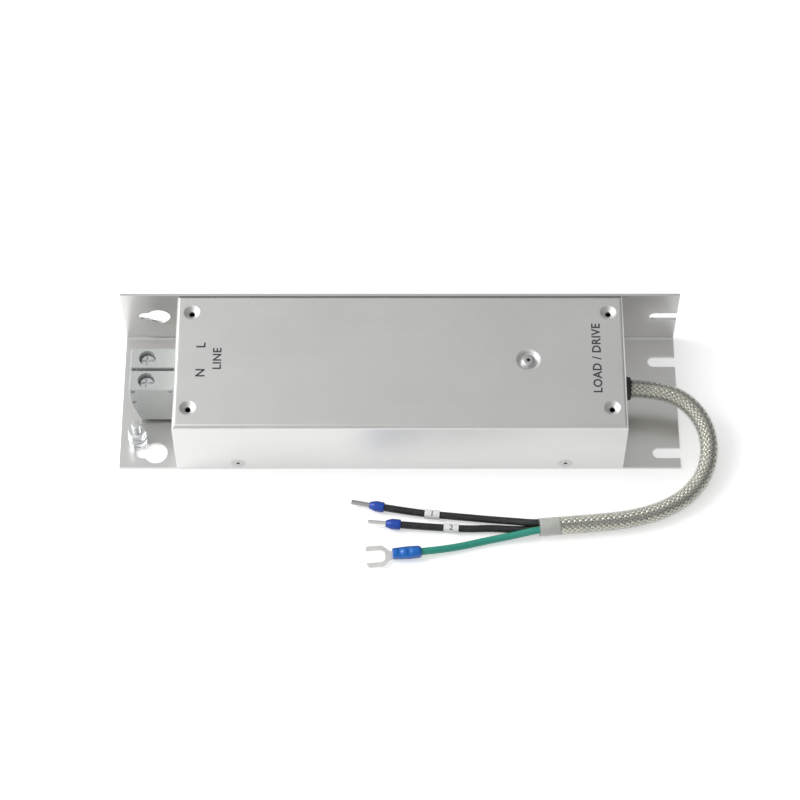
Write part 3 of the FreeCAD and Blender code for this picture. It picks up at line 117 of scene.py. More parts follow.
def stations(line, step, start=0.0, stop=None):
    """Evenly spaced stations along a cord's line, whose top turns as little as the line allows."""
    stop = line_length(line) if stop is None else stop
    count = max(2, round((stop - start) / step) + 1)
    wanted = [start + (stop - start) * i / (count - 1) for i in range(count)]
    made = []
    top = Vector((0.0, 0.0, 1.0))
    walked = 0.0
    index = 0
    for a, b in zip(line, line[1:]):
        run = (b - a).length
        ahead = (b - a).normalized()
        top = (top - ahead * top.dot(ahead)).normalized()
        while index < count and (wanted[index] <= walked + run or b is line[-1]):
            made.append(Station(a + ahead * (wanted[index] - walked), ahead, top, wanted[index]))
            index += 1
        walked += run
    for before, station, after in zip(made, made[1:], made[2:]):
        station.face((after.spot - before.spot).normalized(), station.top)
    return made


def ring_band(shape, uv_layer, near, far, first, second):
    """The faces between two rings of vertices, with a UV map round them and along the cord."""
    sides = len(near)
    for i in range(sides):
        j = (i + 1) % sides
        face = shape.faces.new((near[j], near[i], far[i], far[j]))
        face.smooth = True
        u, w = i / sides, (i + 1) / sides
        spots = ((w, first.along), (u, first.along), (u, second.along), (w, second.along))
        for loop, spot in zip(face.loops, spots):
            loop[uv_layer].uv = spot


def finish_mesh(shape, name):
    """A linked object whose mesh is the given shape, with its faces pointing outwards."""
    bmesh.ops.recalc_face_normals(shape, faces=shape.faces)
    mesh = bpy.data.meshes.new(name)
    shape.to_mesh(mesh)
    shape.free()
    made = bpy.data.objects.new(name, mesh)
    scene.collection.objects.link(made)
    return made


cord_map = "around_and_along"


def skin(name, places, outer, inner=None, sides=32):
    """A closed skin along a cord, solid or with a bore; outer and inner give radius by angle."""
    shape = bmesh.new()
    uv_layer = shape.loops.layers.uv.new(cord_map)
    angles = [2 * math.pi * i / sides for i in range(sides)]
    rings = [[shape.verts.new(p.at(a, outer(p, a))) for a in angles] for p in places]
    for near, far, first, second in zip(rings, rings[1:], places, places[1:]):
        ring_band(shape, uv_layer, near, far, first, second)
    if inner is None:
        shape.faces.new(rings[0])
        shape.faces.new(rings[-1][::-1])
        return finish_mesh(shape, name)
    bores = [[shape.verts.new(p.at(a, inner(p, a))) for a in angles] for p in places]
    for near, far, first, second in zip(bores, bores[1:], places, places[1:]):
        ring_band(shape, uv_layer, near, far, first, second)
    for mouth in (0, -1):
        ring_band(shape, uv_layer, rings[mouth], bores[mouth], places[mouth], places[mouth])
    return finish_mesh(shape, name)


CABLE_ROUTE = [
    (0.10265, -0.0033, 0.0175),
    (0.11685, -0.0034, 0.0170),
    (0.13035, -0.0099, 0.0139),
    (0.13755, -0.0225, 0.0095),
    (0.13625, -0.0375, 0.0061),
    (0.12795, -0.0499, 0.0045),
    (0.11515, -0.0578, 0.0043),
    (0.10130, -0.0620, 0.0043),
    (0.08560, -0.0639, 0.0043),
    (0.07030, -0.0652, 0.0043),
]
cable_line = centreline("cable_line", CABLE_ROUTE)
cable_length = line_length(cable_line)
braid_radius = 0.00346
valley_depth = 0.00085
valley_start = math.radians(-2)
conductor_lay = -1.56


def hollow(place, angle):
    """How deep in a valley between two conductors a place lies; they turn slowly on their way."""
    turn = valley_start + 2 * math.pi * place.along / conductor_lay
    return (0.5 + 0.5 * math.cos(3 * (angle - turn))) ** 3


def lobed(place, angle, radius):
    """The braid's radius over the three conductors."""
    return radius - valley_depth * hollow(place, angle)


# Each carrier of the braid is a flat band of fine wires that goes over one crossing band and
# under the next.
cord_step = 0.001
band_step = 0.00035
carriers = 12
lay_length = 0.0300
band_rise = 0.00020
band_half_width = 0.00063
band_thickness = 0.00019
band_tilt = math.atan(2 * math.pi * braid_radius / lay_length)
BAND_SECTION = [(-1.0, 0.0), (-0.55, 0.75), (0.0, 1.0), (0.55, 0.75), (1.0, 0.0), (0.0, -0.7)]


def band_ring(place, hand, carrier):
    """The places of a band's section at a station, for either direction of winding."""
    angle = hand * 2 * math.pi * place.along / lay_length + 2 * math.pi * carrier / carriers
    phase = 2 * math.pi * carriers * place.along / lay_length
    middle = lobed(place, angle, braid_radius) + hand * band_rise * math.cos(phase)
    ring = []
    for across, up in BAND_SECTION:
        offset = across * band_half_width
        spin = offset * math.cos(band_tilt) / braid_radius
        slide = -hand * offset * math.sin(band_tilt)
        ring.append(place.at(angle + spin, middle + up * band_thickness) + place.ahead * slide)
    return ring


def woven_braid(name, places):
    """All the bands of a braid, which note at each vertex whether it lies in a valley or dips."""
    shape = bmesh.new()
    uv_layer = shape.loops.layers.uv.new(cord_map)
    # Each vertex keeps its valley depth and its dip, which the braid material turns into painted shade.
    depth_layer = shape.verts.layers.float.new("hollow")
    dip_layer = shape.verts.layers.float.new("dip")
    across = {i: 0.5 + 0.5 * spot[0] for i, spot in enumerate(BAND_SECTION)}
    for hand in (1, -1):
        for carrier in range(carriers):
            rings = [[shape.verts.new(spot) for spot in band_ring(p, hand, carrier)] for p in places]
            for ring, place in zip(rings, places):
                angle = hand * 2 * math.pi * place.along / lay_length + 2 * math.pi * carrier / carriers
                dip = 0.5 - 0.5 * hand * math.cos(2 * math.pi * carriers * place.along / lay_length)
                for vertex in ring:
                    vertex[depth_layer] = hollow(place, angle)
                    vertex[dip_layer] = dip
            for near, far, first, second in zip(rings, rings[1:], places, places[1:]):
                for i in range(len(BAND_SECTION)):
                    j = (i + 1) % len(BAND_SECTION)
                    face = shape.faces.new((near[j], near[i], far[i], far[j]))
                    face.smooth = True
                    spots = ((j, first), (i, first), (i, second), (j, second))
                    for loop, (k, place) in zip(face.loops, spots):
                        loop[uv_layer].uv = (across[k], place.along)
            shape.faces.new(rings[0])
            shape.faces.new(rings[-1][::-1])
    return finish_mesh(shape, name)


def node(tree, kind, values=None, **settings):
    """A new shader node; values are numbers or other nodes' outputs for its inputs."""
    made = tree.nodes.new("ShaderNode" + kind)
    for name, setting in settings.items():
        setattr(made, name, setting)
    for socket, value in (values or {}).items():
        if isinstance(value, bpy.types.NodeSocket):
            tree.links.new(value, made.inputs[socket])
        else:
            made.inputs[socket].default_value = value
    return made


def new_group(name, inputs):
    """A shader node group for a surface, with its own input and output nodes."""
    group = bpy.data.node_groups.new(name, "ShaderNodeTree")
    for label, value in inputs.items():
        kind = "NodeSocketColor" if isinstance(value, tuple) else "NodeSocketFloat"
        socket = group.interface.new_socket(label, in_out="INPUT", socket_type=kind)
        socket.default_value = (*value, 1.0) if isinstance(value, tuple) else value
    for label in ("Colour", "Roughness", "Height"):
        kind = "NodeSocketColor" if label == "Colour" else "NodeSocketFloat"
        group.interface.new_socket(label, in_out="OUTPUT", socket_type=kind)
    return group, group.nodes.new("NodeGroupInput").outputs, group.nodes.new("NodeGroupOutput")


def ramp(tree, socket, low, high, first=0.0, last=1.0):
    """Maps a value from one range to another, smoothly and within its ends."""
    mapped = node(tree, "MapRange", {"Value": socket, "From Min": low, "From Max": high,
                                     "To Min": first, "To Max": last}, interpolation_type="SMOOTHSTEP")
    return mapped.outputs["Result"]


def math_of(tree, operation, *values):
    return node(tree, "Math", dict(enumerate(values)), operation=operation).outputs[0]


def product_of(tree, first, *factors):
    for factor in factors:
        first = math_of(tree, "MULTIPLY", first, factor)
    return first


def noise_of(tree, place, scale, detail=2.0, roughness=0.5):
    """Soft noise between 0 and 1."""
    values = {"Vector": place, "Scale": scale, "Detail": detail, "Roughness": roughness}
    return node(tree, "TexNoise", values).outputs["Fac"]


def toned(tree, colour, factor):
    """A colour made lighter or darker by a factor that changes over the surface."""
    mixed = node(tree, "VectorMath", {0: colour}, operation="SCALE")
    tree.links.new(factor, mixed.inputs["Scale"])
    return mixed.outputs["Vector"]


def give_out(group, result, colour, roughness, height):
    """Passes a surface's colour, roughness and relief out of its group."""
    for label, socket in (("Colour", colour), ("Roughness", roughness), ("Height", height)):
        group.links.new(socket, result.inputs[label])


def surface_finish(name, group, values, metallic=0.0, bump=0.3, depth=0.00005, constants=None):
    """A material whose colour, roughness and relief come from a surface group."""
    material = bpy.data.materials.new(name)
    material.use_nodes = True
    tree = material.node_tree
    shader = tree.nodes["Principled BSDF"]
    surface = node(tree, "Group", node_tree=group)
    for label, value in values.items():
        surface.inputs[label].default_value = (*value, 1.0) if isinstance(value, tuple) else value
    relief = node(tree, "Bump", {"Height": surface.outputs["Height"], "Strength": bump, "Distance": depth})
    tree.links.new(surface.outputs["Colour"], shader.inputs["Base Color"])
    tree.links.new(surface.outputs["Roughness"], shader.inputs["Roughness"])
    tree.links.new(relief.outputs["Normal"], shader.inputs["Normal"])
    shader.inputs["Metallic"].default_value = metallic
    for socket, value in (constants or {}).items():
        shader.inputs[socket].default_value = value
    return material


def settle(piece, material, slot, *replaced):
    """Gives a piece its finish, lets it ride on the housing and stand for CAD nodes; the slot is not used."""
    piece.data.materials.clear()
    piece.data.materials.append(material)
    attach(piece, "root")
    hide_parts(*replaced)
    return piece


# Fine tinned wires lie side by side in each band. Painted shade darkens the grooves between the
# wires, the edges of a band, the places where it dips under the next and the valleys between the
# conductors, which leaves the wire tops lighter.
wire_pack, given, result = new_group("wire_pack", {"Colour": (0.6, 0.6, 0.5), "Wires": 5.0})
uv = node(wire_pack, "UVMap", uv_map=cord_map).outputs["UV"]
parts = node(wire_pack, "SeparateXYZ", {0: uv}).outputs
turns = math_of(wire_pack, "MULTIPLY", parts["X"], given["Wires"])
ripple = math_of(wire_pack, "SINE", math_of(wire_pack, "MULTIPLY", turns, math.pi))
wave = math_of(wire_pack, "ABSOLUTE", ripple)
edge = math_of(wire_pack, "ABSOLUTE", math_of(wire_pack, "SUBTRACT", parts["X"], 0.5))
lie = node(wire_pack, "CombineXYZ", {"X": math_of(wire_pack, "FLOOR", turns), "Y": parts["Y"]})
streak = noise_of(wire_pack, lie.outputs[0], 260.0)
tarnish = noise_of(wire_pack, node(wire_pack, "TexCoord").outputs["Object"], 90.0, 3.0)
valley_shade = node(wire_pack, "Attribute", attribute_name="hollow").outputs["Fac"]
dip_shade = node(wire_pack, "Attribute", attribute_name="dip").outputs["Fac"]
# Streaks and tarnish are the wires' own tone; the ramps of band edge, wire grooves, valleys and dips are
# painted shade.
tone = product_of(wire_pack,
                  ramp(wire_pack, streak, 0.3, 0.7, 0.82, 1.12),
                  ramp(wire_pack, tarnish, 0.3, 0.7, 0.86, 1.06),
                  ramp(wire_pack, edge, 0.30, 0.5, 1.0, 0.42),
                  ramp(wire_pack, wave, 0.0, 0.8, 0.66, 1.0),
                  ramp(wire_pack, valley_shade, 0.1, 0.9, 1.06, 0.45),
                  ramp(wire_pack, dip_shade, 0.3, 0.9, 1.12, 0.55))
give_out(wire_pack, result, toned(wire_pack, given["Colour"], tone),
         ramp(wire_pack, streak, 0.3, 0.7, 0.22, 0.34), wave)


def clouded_group(name, inputs, cloud_detail, grain_detail, speck, dulling):
    """A surface whose tone and gloss drift in clouds, with a fine grain for its relief."""
    group, given, result = new_group(name, inputs)
    place = node(group, "TexCoord").outputs["Object"]
    cloud = noise_of(group, place, given["Cloud Scale"], cloud_detail)
    grain = noise_of(group, place, given["Grain Scale"], grain_detail)
    shift = math_of(group, "SUBTRACT", cloud, 0.5)
    drift = math_of(group, "MULTIPLY_ADD", shift, given["Cloud"], 1.0)
    tone = product_of(group, drift, ramp(group, grain, *speck))
    rough = math_of(group, "ADD", given["Shine"], math_of(group, "MULTIPLY", shift, dulling))
    give_out(group, result, toned(group, given["Colour"], tone), rough, grain)
    return group


# Soft and moulded plastics have a fine dull grain, a little cloudiness and worn places.
plastic_skin = clouded_group(
    "plastic_skin",
    {"Colour": (0.5, 0.5, 0.5), "Shine": 0.45, "Cloud": 0.06, "Cloud Scale": 70.0, "Grain Scale": 2600.0},
    cloud_detail=4.0, grain_detail=2.0, speck=(0.35, 0.75, 0.96, 1.05), dulling=0.35)

braid_wire = surface_finish("tinned_braid", wire_pack, {"Colour": (0.90, 0.875, 0.75), "Wires": 5.0},
                            metallic=1.0, bump=0.5, depth=0.00006)
under_braid = surface_finish("under_braid", plastic_skin, {"Colour": (0.045, 0.043, 0.036), "Shine": 0.7})
milky_wrap = surface_finish("milky_wrap", plastic_skin,
                            {"Colour": (0.56, 0.57, 0.54), "Shine": 0.4, "Cloud": 0.25, "Cloud Scale": 260.0})
clear_film = surface_finish("clear_film", plastic_skin,
                            {"Colour": (0.86, 0.87, 0.83), "Shine": 0.22, "Cloud": 0.1}, bump=0.1)
tree = clear_film.node_tree
rim = node(tree, "LayerWeight", {"Blend": 0.35}).outputs["Facing"]
film_alpha = math_of(tree, "MULTIPLY_ADD", math_of(tree, "POWER", rim, 2.0), 0.5, 0.13)
tree.links.new(film_alpha, tree.nodes["Principled BSDF"].inputs["Alpha"])

sleeve_start = 0.0004
sleeve_free_end = 0.0096
sleeve_radius = 0.00414
sleeve_wall = 0.00020
sleeve_cling = 0.45
sleeve_rounding_run = 0.003
sleeve_rest = 0.0006
wrap_step = 0.0008
wrap_gap = 0.0001
wrap_wall = 0.0002
last_way = (cable_line[-1] - cable_line[-2]).normalized()
sleeve_line = cable_line + [cable_line[-1] + last_way * sleeve_free_end]
cable_braid = woven_braid("cable_braid", stations(cable_line, band_step))
cable_core = skin("cable_core", stations(cable_line, cord_step),
                  lambda p, a: lobed(p, a, braid_radius - band_rise - 0.5 * band_thickness))


def sleeve_outside(place, angle):
    """The sleeve clings to the braid, and is round past the braid's end."""
    past = max(0.0, min(1.0, (place.along - cable_length) / sleeve_rounding_run))
    valley = sleeve_radius - lobed(place, angle, sleeve_radius)
    return sleeve_radius - sleeve_cling * (1.0 - past) * valley


def sleeve_inside(place, angle):
    return sleeve_outside(place, angle) - sleeve_wall


clear_sleeve = skin("clear_sleeve", stations(sleeve_line, cord_step, start=sleeve_start),
                    sleeve_outside, sleeve_inside, sides=40)
wrap_places = stations(sleeve_line, wrap_step, start=cable_length + wrap_gap,
                       stop=cable_length + sleeve_free_end - sleeve_rest)
end_wrap = skin("end_wrap", wrap_places, lambda p, a: sleeve_inside(p, a) - wrap_gap,
                lambda p, a: sleeve_inside(p, a) - wrap_gap - wrap_wall)
settle(cable_braid, braid_wire, "braid", "screened_cable")
settle(cable_core, under_braid, "braid")
settle(clear_sleeve, clear_film, "clear_sleeve", "end_sleeve")
settle(end_wrap, milky_wrap, "clear_sleeve")

# Leads
# Two black conductors and a green and yellow earth conductor of soft PVC come out of the sleeve,
# spread a little and lie on the surface.
lead_radius = 0.0016
lead_spread = 0.00185
sideways = Vector((0.0, 0.0, 1.0)).cross(last_way)


def lead_start(turn_degrees):
    """Where a conductor leaves the braid, on a circle about the cable's axis."""
    turn = math.radians(turn_degrees)
    off_axis = sideways * math.cos(turn) + Vector((0, 0, math.sin(turn)))
    return tuple(cable_line[-1] + lead_spread * off_axis)


fork_mouth = Vector((0.0093, -0.0772, 0.0029))
fork_way = Vector((-1.0, -0.09, 0.0)).normalized()
straight_before_fork = 0.0046
reach_into_fork = 0.0034
LEAD_ROUTES = {
    "black_lead_one": [
        lead_start(150),
        (0.0603, -0.0645, 0.0052),
        (0.0510, -0.0627, 0.0034),
        (0.0405, -0.0612, 0.0022),
        (0.0290, -0.0600, 0.0021),
        (0.0065, -0.0577, 0.0021),
        (-0.0115, -0.0544, 0.0025),
    ],
    "black_lead_two": [
        lead_start(-90),
        (0.0603, -0.0661, 0.0025),
        (0.0500, -0.0659, 0.0018),
        (0.0400, -0.0653, 0.0020),
        (0.0300, -0.0658, 0.0021),
        (0.0120, -0.0647, 0.0021),
        (-0.0043, -0.0634, 0.0025),
    ],
    "earth_lead": [
        lead_start(30),
        (0.0603, -0.0676, 0.0052),
        (0.0510, -0.0692, 0.0032),
        (0.0385, -0.0712, 0.0018),
        (0.0260, -0.0744, 0.0020),
        tuple(fork_mouth - fork_way * straight_before_fork),
        tuple(fork_mouth + fork_way * reach_into_fork),
    ],
}


def mix_of(tree, share, first, second):
    """A colour between two others."""
    return node(tree, "Mix", {0: share, 6: first, 7: second}, data_type="RGBA").outputs[2]


# The insulation has long faint scuffs and dust, and the earth lead a yellow stripe that winds
# slowly round it.
stripe_turns_per_metre = 6.0
lead_skin, given, result = new_group("lead_skin", {
    "Colour": (0.02, 0.02, 0.02), "Stripe": (0.6, 0.5, 0.05), "Stripe Share": 0.0, "Dust": 0.04})
uv = node(lead_skin, "UVMap", uv_map=cord_map).outputs["UV"]
parts = node(lead_skin, "SeparateXYZ", {0: uv}).outputs
climb = math_of(lead_skin, "MULTIPLY", parts["Y"], stripe_turns_per_metre)
wound = math_of(lead_skin, "FRACT", math_of(lead_skin, "ADD", parts["X"], climb))
inside = math_of(lead_skin, "LESS_THAN", wound, given["Stripe Share"])
long_lie = node(lead_skin, "Mapping", {"Vector": uv, "Scale": (40.0, 260.0, 1.0)}).outputs[0]
scuff = noise_of(lead_skin, long_lie, 1.0, 4.0)
worn = math_of(lead_skin, "MULTIPLY", ramp(lead_skin, scuff, 0.52, 0.72), given["Dust"])
painted = mix_of(lead_skin, inside, given["Colour"], given["Stripe"])
give_out(lead_skin, result, mix_of(lead_skin, worn, painted, (0.5, 0.5, 0.5, 1.0)),
         ramp(lead_skin, scuff, 0.3, 0.7, 0.34, 0.5), scuff)
black_pvc = surface_finish("black_pvc", lead_skin, {"Colour": (0.016, 0.017, 0.019), "Dust": 0.10})
green_pvc = surface_finish("green_yellow_pvc", lead_skin, {
    "Colour": (0.026, 0.31, 0.23), "Stripe": (0.30, 0.46, 0.15), "Stripe Share": 0.2, "Dust": 0.08})

lead_lines = {name: centreline(name + "_line", route) for name, route in LEAD_ROUTES.items()}
lead_pieces = {name: [] for name in LEAD_ROUTES}
for name, line in lead_lines.items():
    skinned = skin(name + "_insulation", stations(line, cord_step), lambda p, a: lead_radius, sides=28)
    earthed = name == "earth_lead"
    settle(skinned, green_pvc if earthed else black_pvc,
           "green_insulation" if earthed else "black_insulation", name)


# Wire markers
# A short tube of white plastic with a printed number is slipped on each black lead, and holds by
# its own grip.
def pick(piece):
    """Selects one piece alone and makes it active."""
    bpy.ops.object.select_all(action="DESELECT")
    piece.select_set(True)
    bpy.context.view_layer.objects.active = piece


def refined(source, name, edge, segments=2, sharp=32.0):
    """A copy of a CAD node whose triangles are joined into whole faces and whose edges are eased."""
    same_spot = 0.000002
    flat_within = math.radians(0.5)
    piece = bpy.data.objects.new(name, frame["nodes"][source].data.copy())
    scene.collection.objects.link(piece)
    pick(piece)
    bpy.ops.object.mode_set(mode="EDIT")
    bpy.ops.mesh.select_all(action="SELECT")
    bpy.ops.mesh.remove_doubles(threshold=same_spot)
    bpy.ops.mesh.dissolve_limited(angle_limit=flat_within)
    bpy.ops.object.mode_set(mode="OBJECT")
    if piece.data.has_custom_normals:
        bpy.ops.mesh.customdata_custom_splitnormals_clear()
    eased_edges(piece, edge, segments, sharp)
    return piece


def eased_edges(piece, edge, segments=2, sharp=32.0):
    """Rounds the sharp edges of a piece a little and shades it smooth, with flat faces kept flat."""
    pick(piece)
    if edge > 0:
        rounding = piece.modifiers.new("eased_edges", "BEVEL")
        rounding.width = edge
        rounding.segments = segments
        rounding.limit_method = "ANGLE"
        rounding.angle_limit = math.radians(sharp)
        rounding.use_clamp_overlap = False
        bpy.ops.object.modifier_apply(modifier=rounding.name)
    bpy.ops.object.shade_smooth_by_angle(angle=math.radians(sharp + 6))
    weights = piece.modifiers.new("flat_faces", "WEIGHTED_NORMAL")
    weights.keep_sharp = True
    bpy.ops.object.modifier_apply(modifier=weights.name)


def lettering(name, words, size, spot, turn_degrees, weight, spacing=1.0):
    """Printed letters as a very thin mesh, centred on a spot and turned about the vertical."""
    thickness = 0.00003
    bpy.ops.object.select_all(action="DESELECT")
    bpy.ops.object.text_add(location=(0.0, 0.0, 0.0))
    letters = bpy.context.active_object
    letters.name = name
    letters.data.body = words
    letters.data.size = size
    letters.data.align_x = "CENTER"
    letters.data.align_y = "CENTER"
    letters.data.extrude = thickness / 2
    letters.data.resolution_u = 3
    letters.data.offset = weight
    letters.data.space_character = spacing
    bpy.ops.object.convert(target="MESH")
    letters.data.name = name
    turned = Matrix.Rotation(math.radians(turn_degrees), 4, "Z")
    letters.data.transform(Matrix.Translation(spot) @ turned)
    return letters


white_slip = surface_finish(
    "white_slip_on", plastic_skin,
    {"Colour": (0.88, 0.885, 0.88), "Shine": 0.5, "Cloud": 0.08, "Cloud Scale": 300.0})
marker_ink = surface_finish(
    "marker_ink", plastic_skin,
    {"Colour": (0.16, 0.16, 0.18), "Shine": 0.5, "Cloud": 0.5, "Cloud Scale": 1500.0})
figure_size = 0.0034
figure_weight = 0.00005
figure_lift = 0.00004
figure_turn = math.radians(108)
figure_strip = 0.00021
for number, word in ((1, "one"), (2, "two")):
    lead = "black_lead_" + word
    tube = refined("wire_marker_" + word, "marker_tube_" + word, edge=0.00008)
    settle(tube, white_slip, "white_marker", "wire_marker_" + word)
    low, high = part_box("wire_marker_" + word)
    middle = (low + high) / 2
    outer = (high.z - low.z) / 2
    near = min(stations(lead_lines[lead], 0.0005), key=lambda p: (p.spot - middle).length)
    near.spot = middle
    figure = lettering("marker_figure_" + word, str(number), figure_size, Vector((0.0, 0.0, 0.0)), 0.0,
                       figure_weight)
    # The flat figure is cut into strips, which bend it round the tube.
    bpy.ops.object.mode_set(mode="EDIT")
    for step in range(-6, 7):
        bpy.ops.mesh.select_all(action="SELECT")
        bpy.ops.mesh.bisect(plane_co=(0.0, figure_strip * step, 0.0), plane_no=(0.0, 1.0, 0.0))
    bpy.ops.object.mode_set(mode="OBJECT")
    for vertex in figure.data.vertices:
        across, along, lift = vertex.co
        angle = figure_turn - along / outer
        vertex.co = near.at(angle, outer + figure_lift + lift) - near.ahead * across
    settle(figure, marker_ink, "white_marker")
    lead_pieces[lead] += [tube, figure]

# Ferrules
# Each black lead is crimped into a tinned copper pin, whose blue plastic collar is moulded round
# the mouth and takes the end of the insulation.
plated_metal = clouded_group(
    "plated_metal",
    {"Colour": (0.7, 0.7, 0.7), "Shine": 0.3, "Cloud": 0.1, "Cloud Scale": 120.0, "Grain Scale": 3000.0},
    cloud_detail=5.0, grain_detail=3.0, speck=(0.3, 0.7, 0.96, 1.04), dulling=0.5)
# The first pin is given a darker tin than the second.
pin_tins = {
    "one": surface_finish("darker_tin", plated_metal, {"Colour": (0.46, 0.45, 0.44), "Shine": 0.44},
                          metallic=1.0),
    "two": surface_finish("bright_tin", plated_metal, {"Colour": (0.93, 0.92, 0.90), "Shine": 0.34},
                          metallic=1.0),
}
blue_collar = surface_finish(
    "blue_collar_plastic", plastic_skin,
    {"Colour": (0.006, 0.062, 0.42), "Shine": 0.36, "Cloud": 0.12, "Cloud Scale": 400.0},
    constants={"Coat Weight": 0.15})


def deepened(material, middle, rim):
    """Paints a half clear plastic lighter where it faces the eye, as a painted highlight, and darker towards
    its outline, as painted shade.
    """
    tree = material.node_tree
    facing = node(tree, "LayerWeight", {"Blend": 0.5}).outputs["Facing"]
    plain = tree.nodes["Group"].outputs["Colour"]
    depth = ramp(tree, facing, 0.1, 0.8, middle, rim)
    tree.links.new(toned(tree, plain, depth), tree.nodes["Principled BSDF"].inputs["Base Color"])


# The collars get a painted highlight in the middle and painted shade towards the outline.
deepened(blue_collar, 1.08, 0.5)
pin_radius = 0.00103
pin_rib = 0.00009
pin_rib_pitch = 0.0011
pin_step = 0.00022
pin_edge = 0.00018
pin_hidden = 0.0005
pin_foot = 0.0010


def crimped_pin(place, angle):
    """A pin pressed between toothed jaws: a rounded square with shallow ribs across its flats."""
    squared = 1.0 - 0.05 * math.cos(4 * angle)
    rib = pin_rib * math.cos(2 * math.pi * place.along / pin_rib_pitch)
    return pin_radius * squared + rib * max(0.0, math.cos(2 * angle)) ** 2


for word, pin_tin in pin_tins.items():
    low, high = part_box("ferrule_pin_" + word)
    line = lead_lines["black_lead_" + word]
    way = (line[-1] - line[-2]).normalized()
    reach = (high.x - low.x) / abs(way.x) - pin_foot
    pin_line = [line[-1] - way * pin_hidden, line[-1] + way * reach]
    pin = skin("pin_" + word, stations(pin_line, pin_step), crimped_pin, sides=24)
    eased_edges(pin, pin_edge, 2, 60.0)
    settle(pin, pin_tin, "tinned", "ferrule_pin_" + word)
    collar = refined("ferrule_collar_" + word, "collar_" + word, edge=0.00025, segments=3, sharp=20.0)
    settle(collar, blue_collar, "blue_collar", "ferrule_collar_" + word)
    lead_pieces["black_lead_" + word] += [pin, collar]

# Fork terminal
# The earth lead ends in a fork stamped from tinned copper, crimped on it through a sleeve of half
# clear blue vinyl.
blue_vinyl = surface_finish(
    "blue_vinyl", plastic_skin,
    {"Colour": (0.001, 0.125, 0.50), "Shine": 0.25, "Cloud": 0.3, "Cloud Scale": 330.0},
    constants={"Coat Weight": 0.5, "Coat Roughness": 0.08})
# The vinyl sleeve gets a painted highlight in the middle and painted shade towards the outline.
deepened(blue_vinyl, 1.22, 0.4)
fork_tin = surface_finish("fork_tin", plated_metal, {"Colour": (0.93, 0.93, 0.91), "Shine": 0.42},
                          metallic=1.0)
fork_blade = refined("fork_terminal", "fork_blade", edge=0.00016)
settle(fork_blade, fork_tin, "tinned", "fork_terminal")
sleeve_length = 0.0126
vinyl_line = [fork_mouth + fork_way * (sleeve_length * i / 20) for i in range(21)]


def vinyl_outside(place, angle):
    """A sleeve with a bell mouth, a round belly and two crimp dents that flatten its top."""
    share = place.along / sleeve_length
    radius = 0.00262 + 0.00022 * math.sin(math.pi * min(1.0, share * 1.25))
    radius -= 0.00042 * math.exp(-(share / 0.05) ** 2)
    for dent in (0.42, 0.74):
        press = math.exp(-((share - dent) / 0.085) ** 2)
        radius -= 0.00050 * press * max(0.0, math.sin(angle)) ** 2
        radius += 0.00012 * press * math.cos(angle) ** 4
    return radius - 0.0002 * max(0.0, (share - 0.9) / 0.1) ** 2


def vinyl_inside(place, angle):
    return vinyl_outside(place, angle) - 0.00045 - 0.00012 * math.sin(angle) ** 2


vinyl_sleeve = skin("vinyl_sleeve", stations(vinyl_line, 0.0003), vinyl_outside, vinyl_inside, sides=36)
settle(vinyl_sleeve, blue_vinyl, "blue_sleeve", "fork_sleeve")
lead_pieces["earth_lead"] += [fork_blade, vinyl_sleeve]

# Chassis
# One sheet bent into a base plate, a back wall and a low front lip, left as rolled, with
# keyholes at one end and open slots at the other.
rolled_sheet, given, result = new_group("rolled_sheet", {
    "Colour": (0.7, 0.7, 0.69), "Shine": 0.36, "Grain": 0.06, "Smudge": 0.07})
place = node(rolled_sheet, "TexCoord").outputs["Object"]
facing = node(rolled_sheet, "SeparateXYZ", {0: node(rolled_sheet, "NewGeometry").outputs["Normal"]}).outputs
on_end = math_of(rolled_sheet, "GREATER_THAN", math_of(rolled_sheet, "ABSOLUTE", facing["X"]), 0.7)
along_x = node(rolled_sheet, "Mapping", {"Vector": place, "Scale": (22.0, 1500.0, 1500.0)}).outputs[0]
along_y = node(rolled_sheet, "Mapping", {"Vector": place, "Scale": (1500.0, 22.0, 1500.0)}).outputs[0]
lie = node(rolled_sheet, "Mix", {0: on_end, 4: along_x, 5: along_y}, data_type="VECTOR").outputs[1]
grain = noise_of(rolled_sheet, lie, 1.0, 3.0)
cloud = math_of(rolled_sheet, "MULTIPLY", noise_of(rolled_sheet, place, 26.0, 5.0, 0.55), 0.7)
prints = math_of(rolled_sheet, "MULTIPLY", noise_of(rolled_sheet, place, 130.0, 3.0), 0.3)
lines = math_of(rolled_sheet, "MULTIPLY", math_of(rolled_sheet, "SUBTRACT", grain, 0.5), given["Grain"])
smudge = math_of(rolled_sheet, "SUBTRACT", math_of(rolled_sheet, "ADD", cloud, prints), 0.5)
darker = math_of(rolled_sheet, "MULTIPLY", smudge, given["Smudge"])
tone = math_of(rolled_sheet, "ADD", math_of(rolled_sheet, "ADD", lines, darker), 1.0)
rough = math_of(rolled_sheet, "ADD", given["Shine"], math_of(rolled_sheet, "MULTIPLY", smudge, 0.12))
rough = math_of(rolled_sheet, "ADD", rough, math_of(rolled_sheet, "MULTIPLY", lines, 0.5))
give_out(rolled_sheet, result, toned(rolled_sheet, given["Colour"], tone), rough, grain)
chassis_metal = surface_finish(
    "chassis_metal", rolled_sheet,
    {"Colour": (0.82, 0.815, 0.80), "Shine": 0.29, "Grain": 0.04, "Smudge": 0.05},
    metallic=1.0, bump=0.02, depth=0.00003)
chassis_sheet = refined("chassis", "chassis_sheet", edge=0.00012)
settle(chassis_sheet, chassis_metal, "chassis_sheet", "chassis")

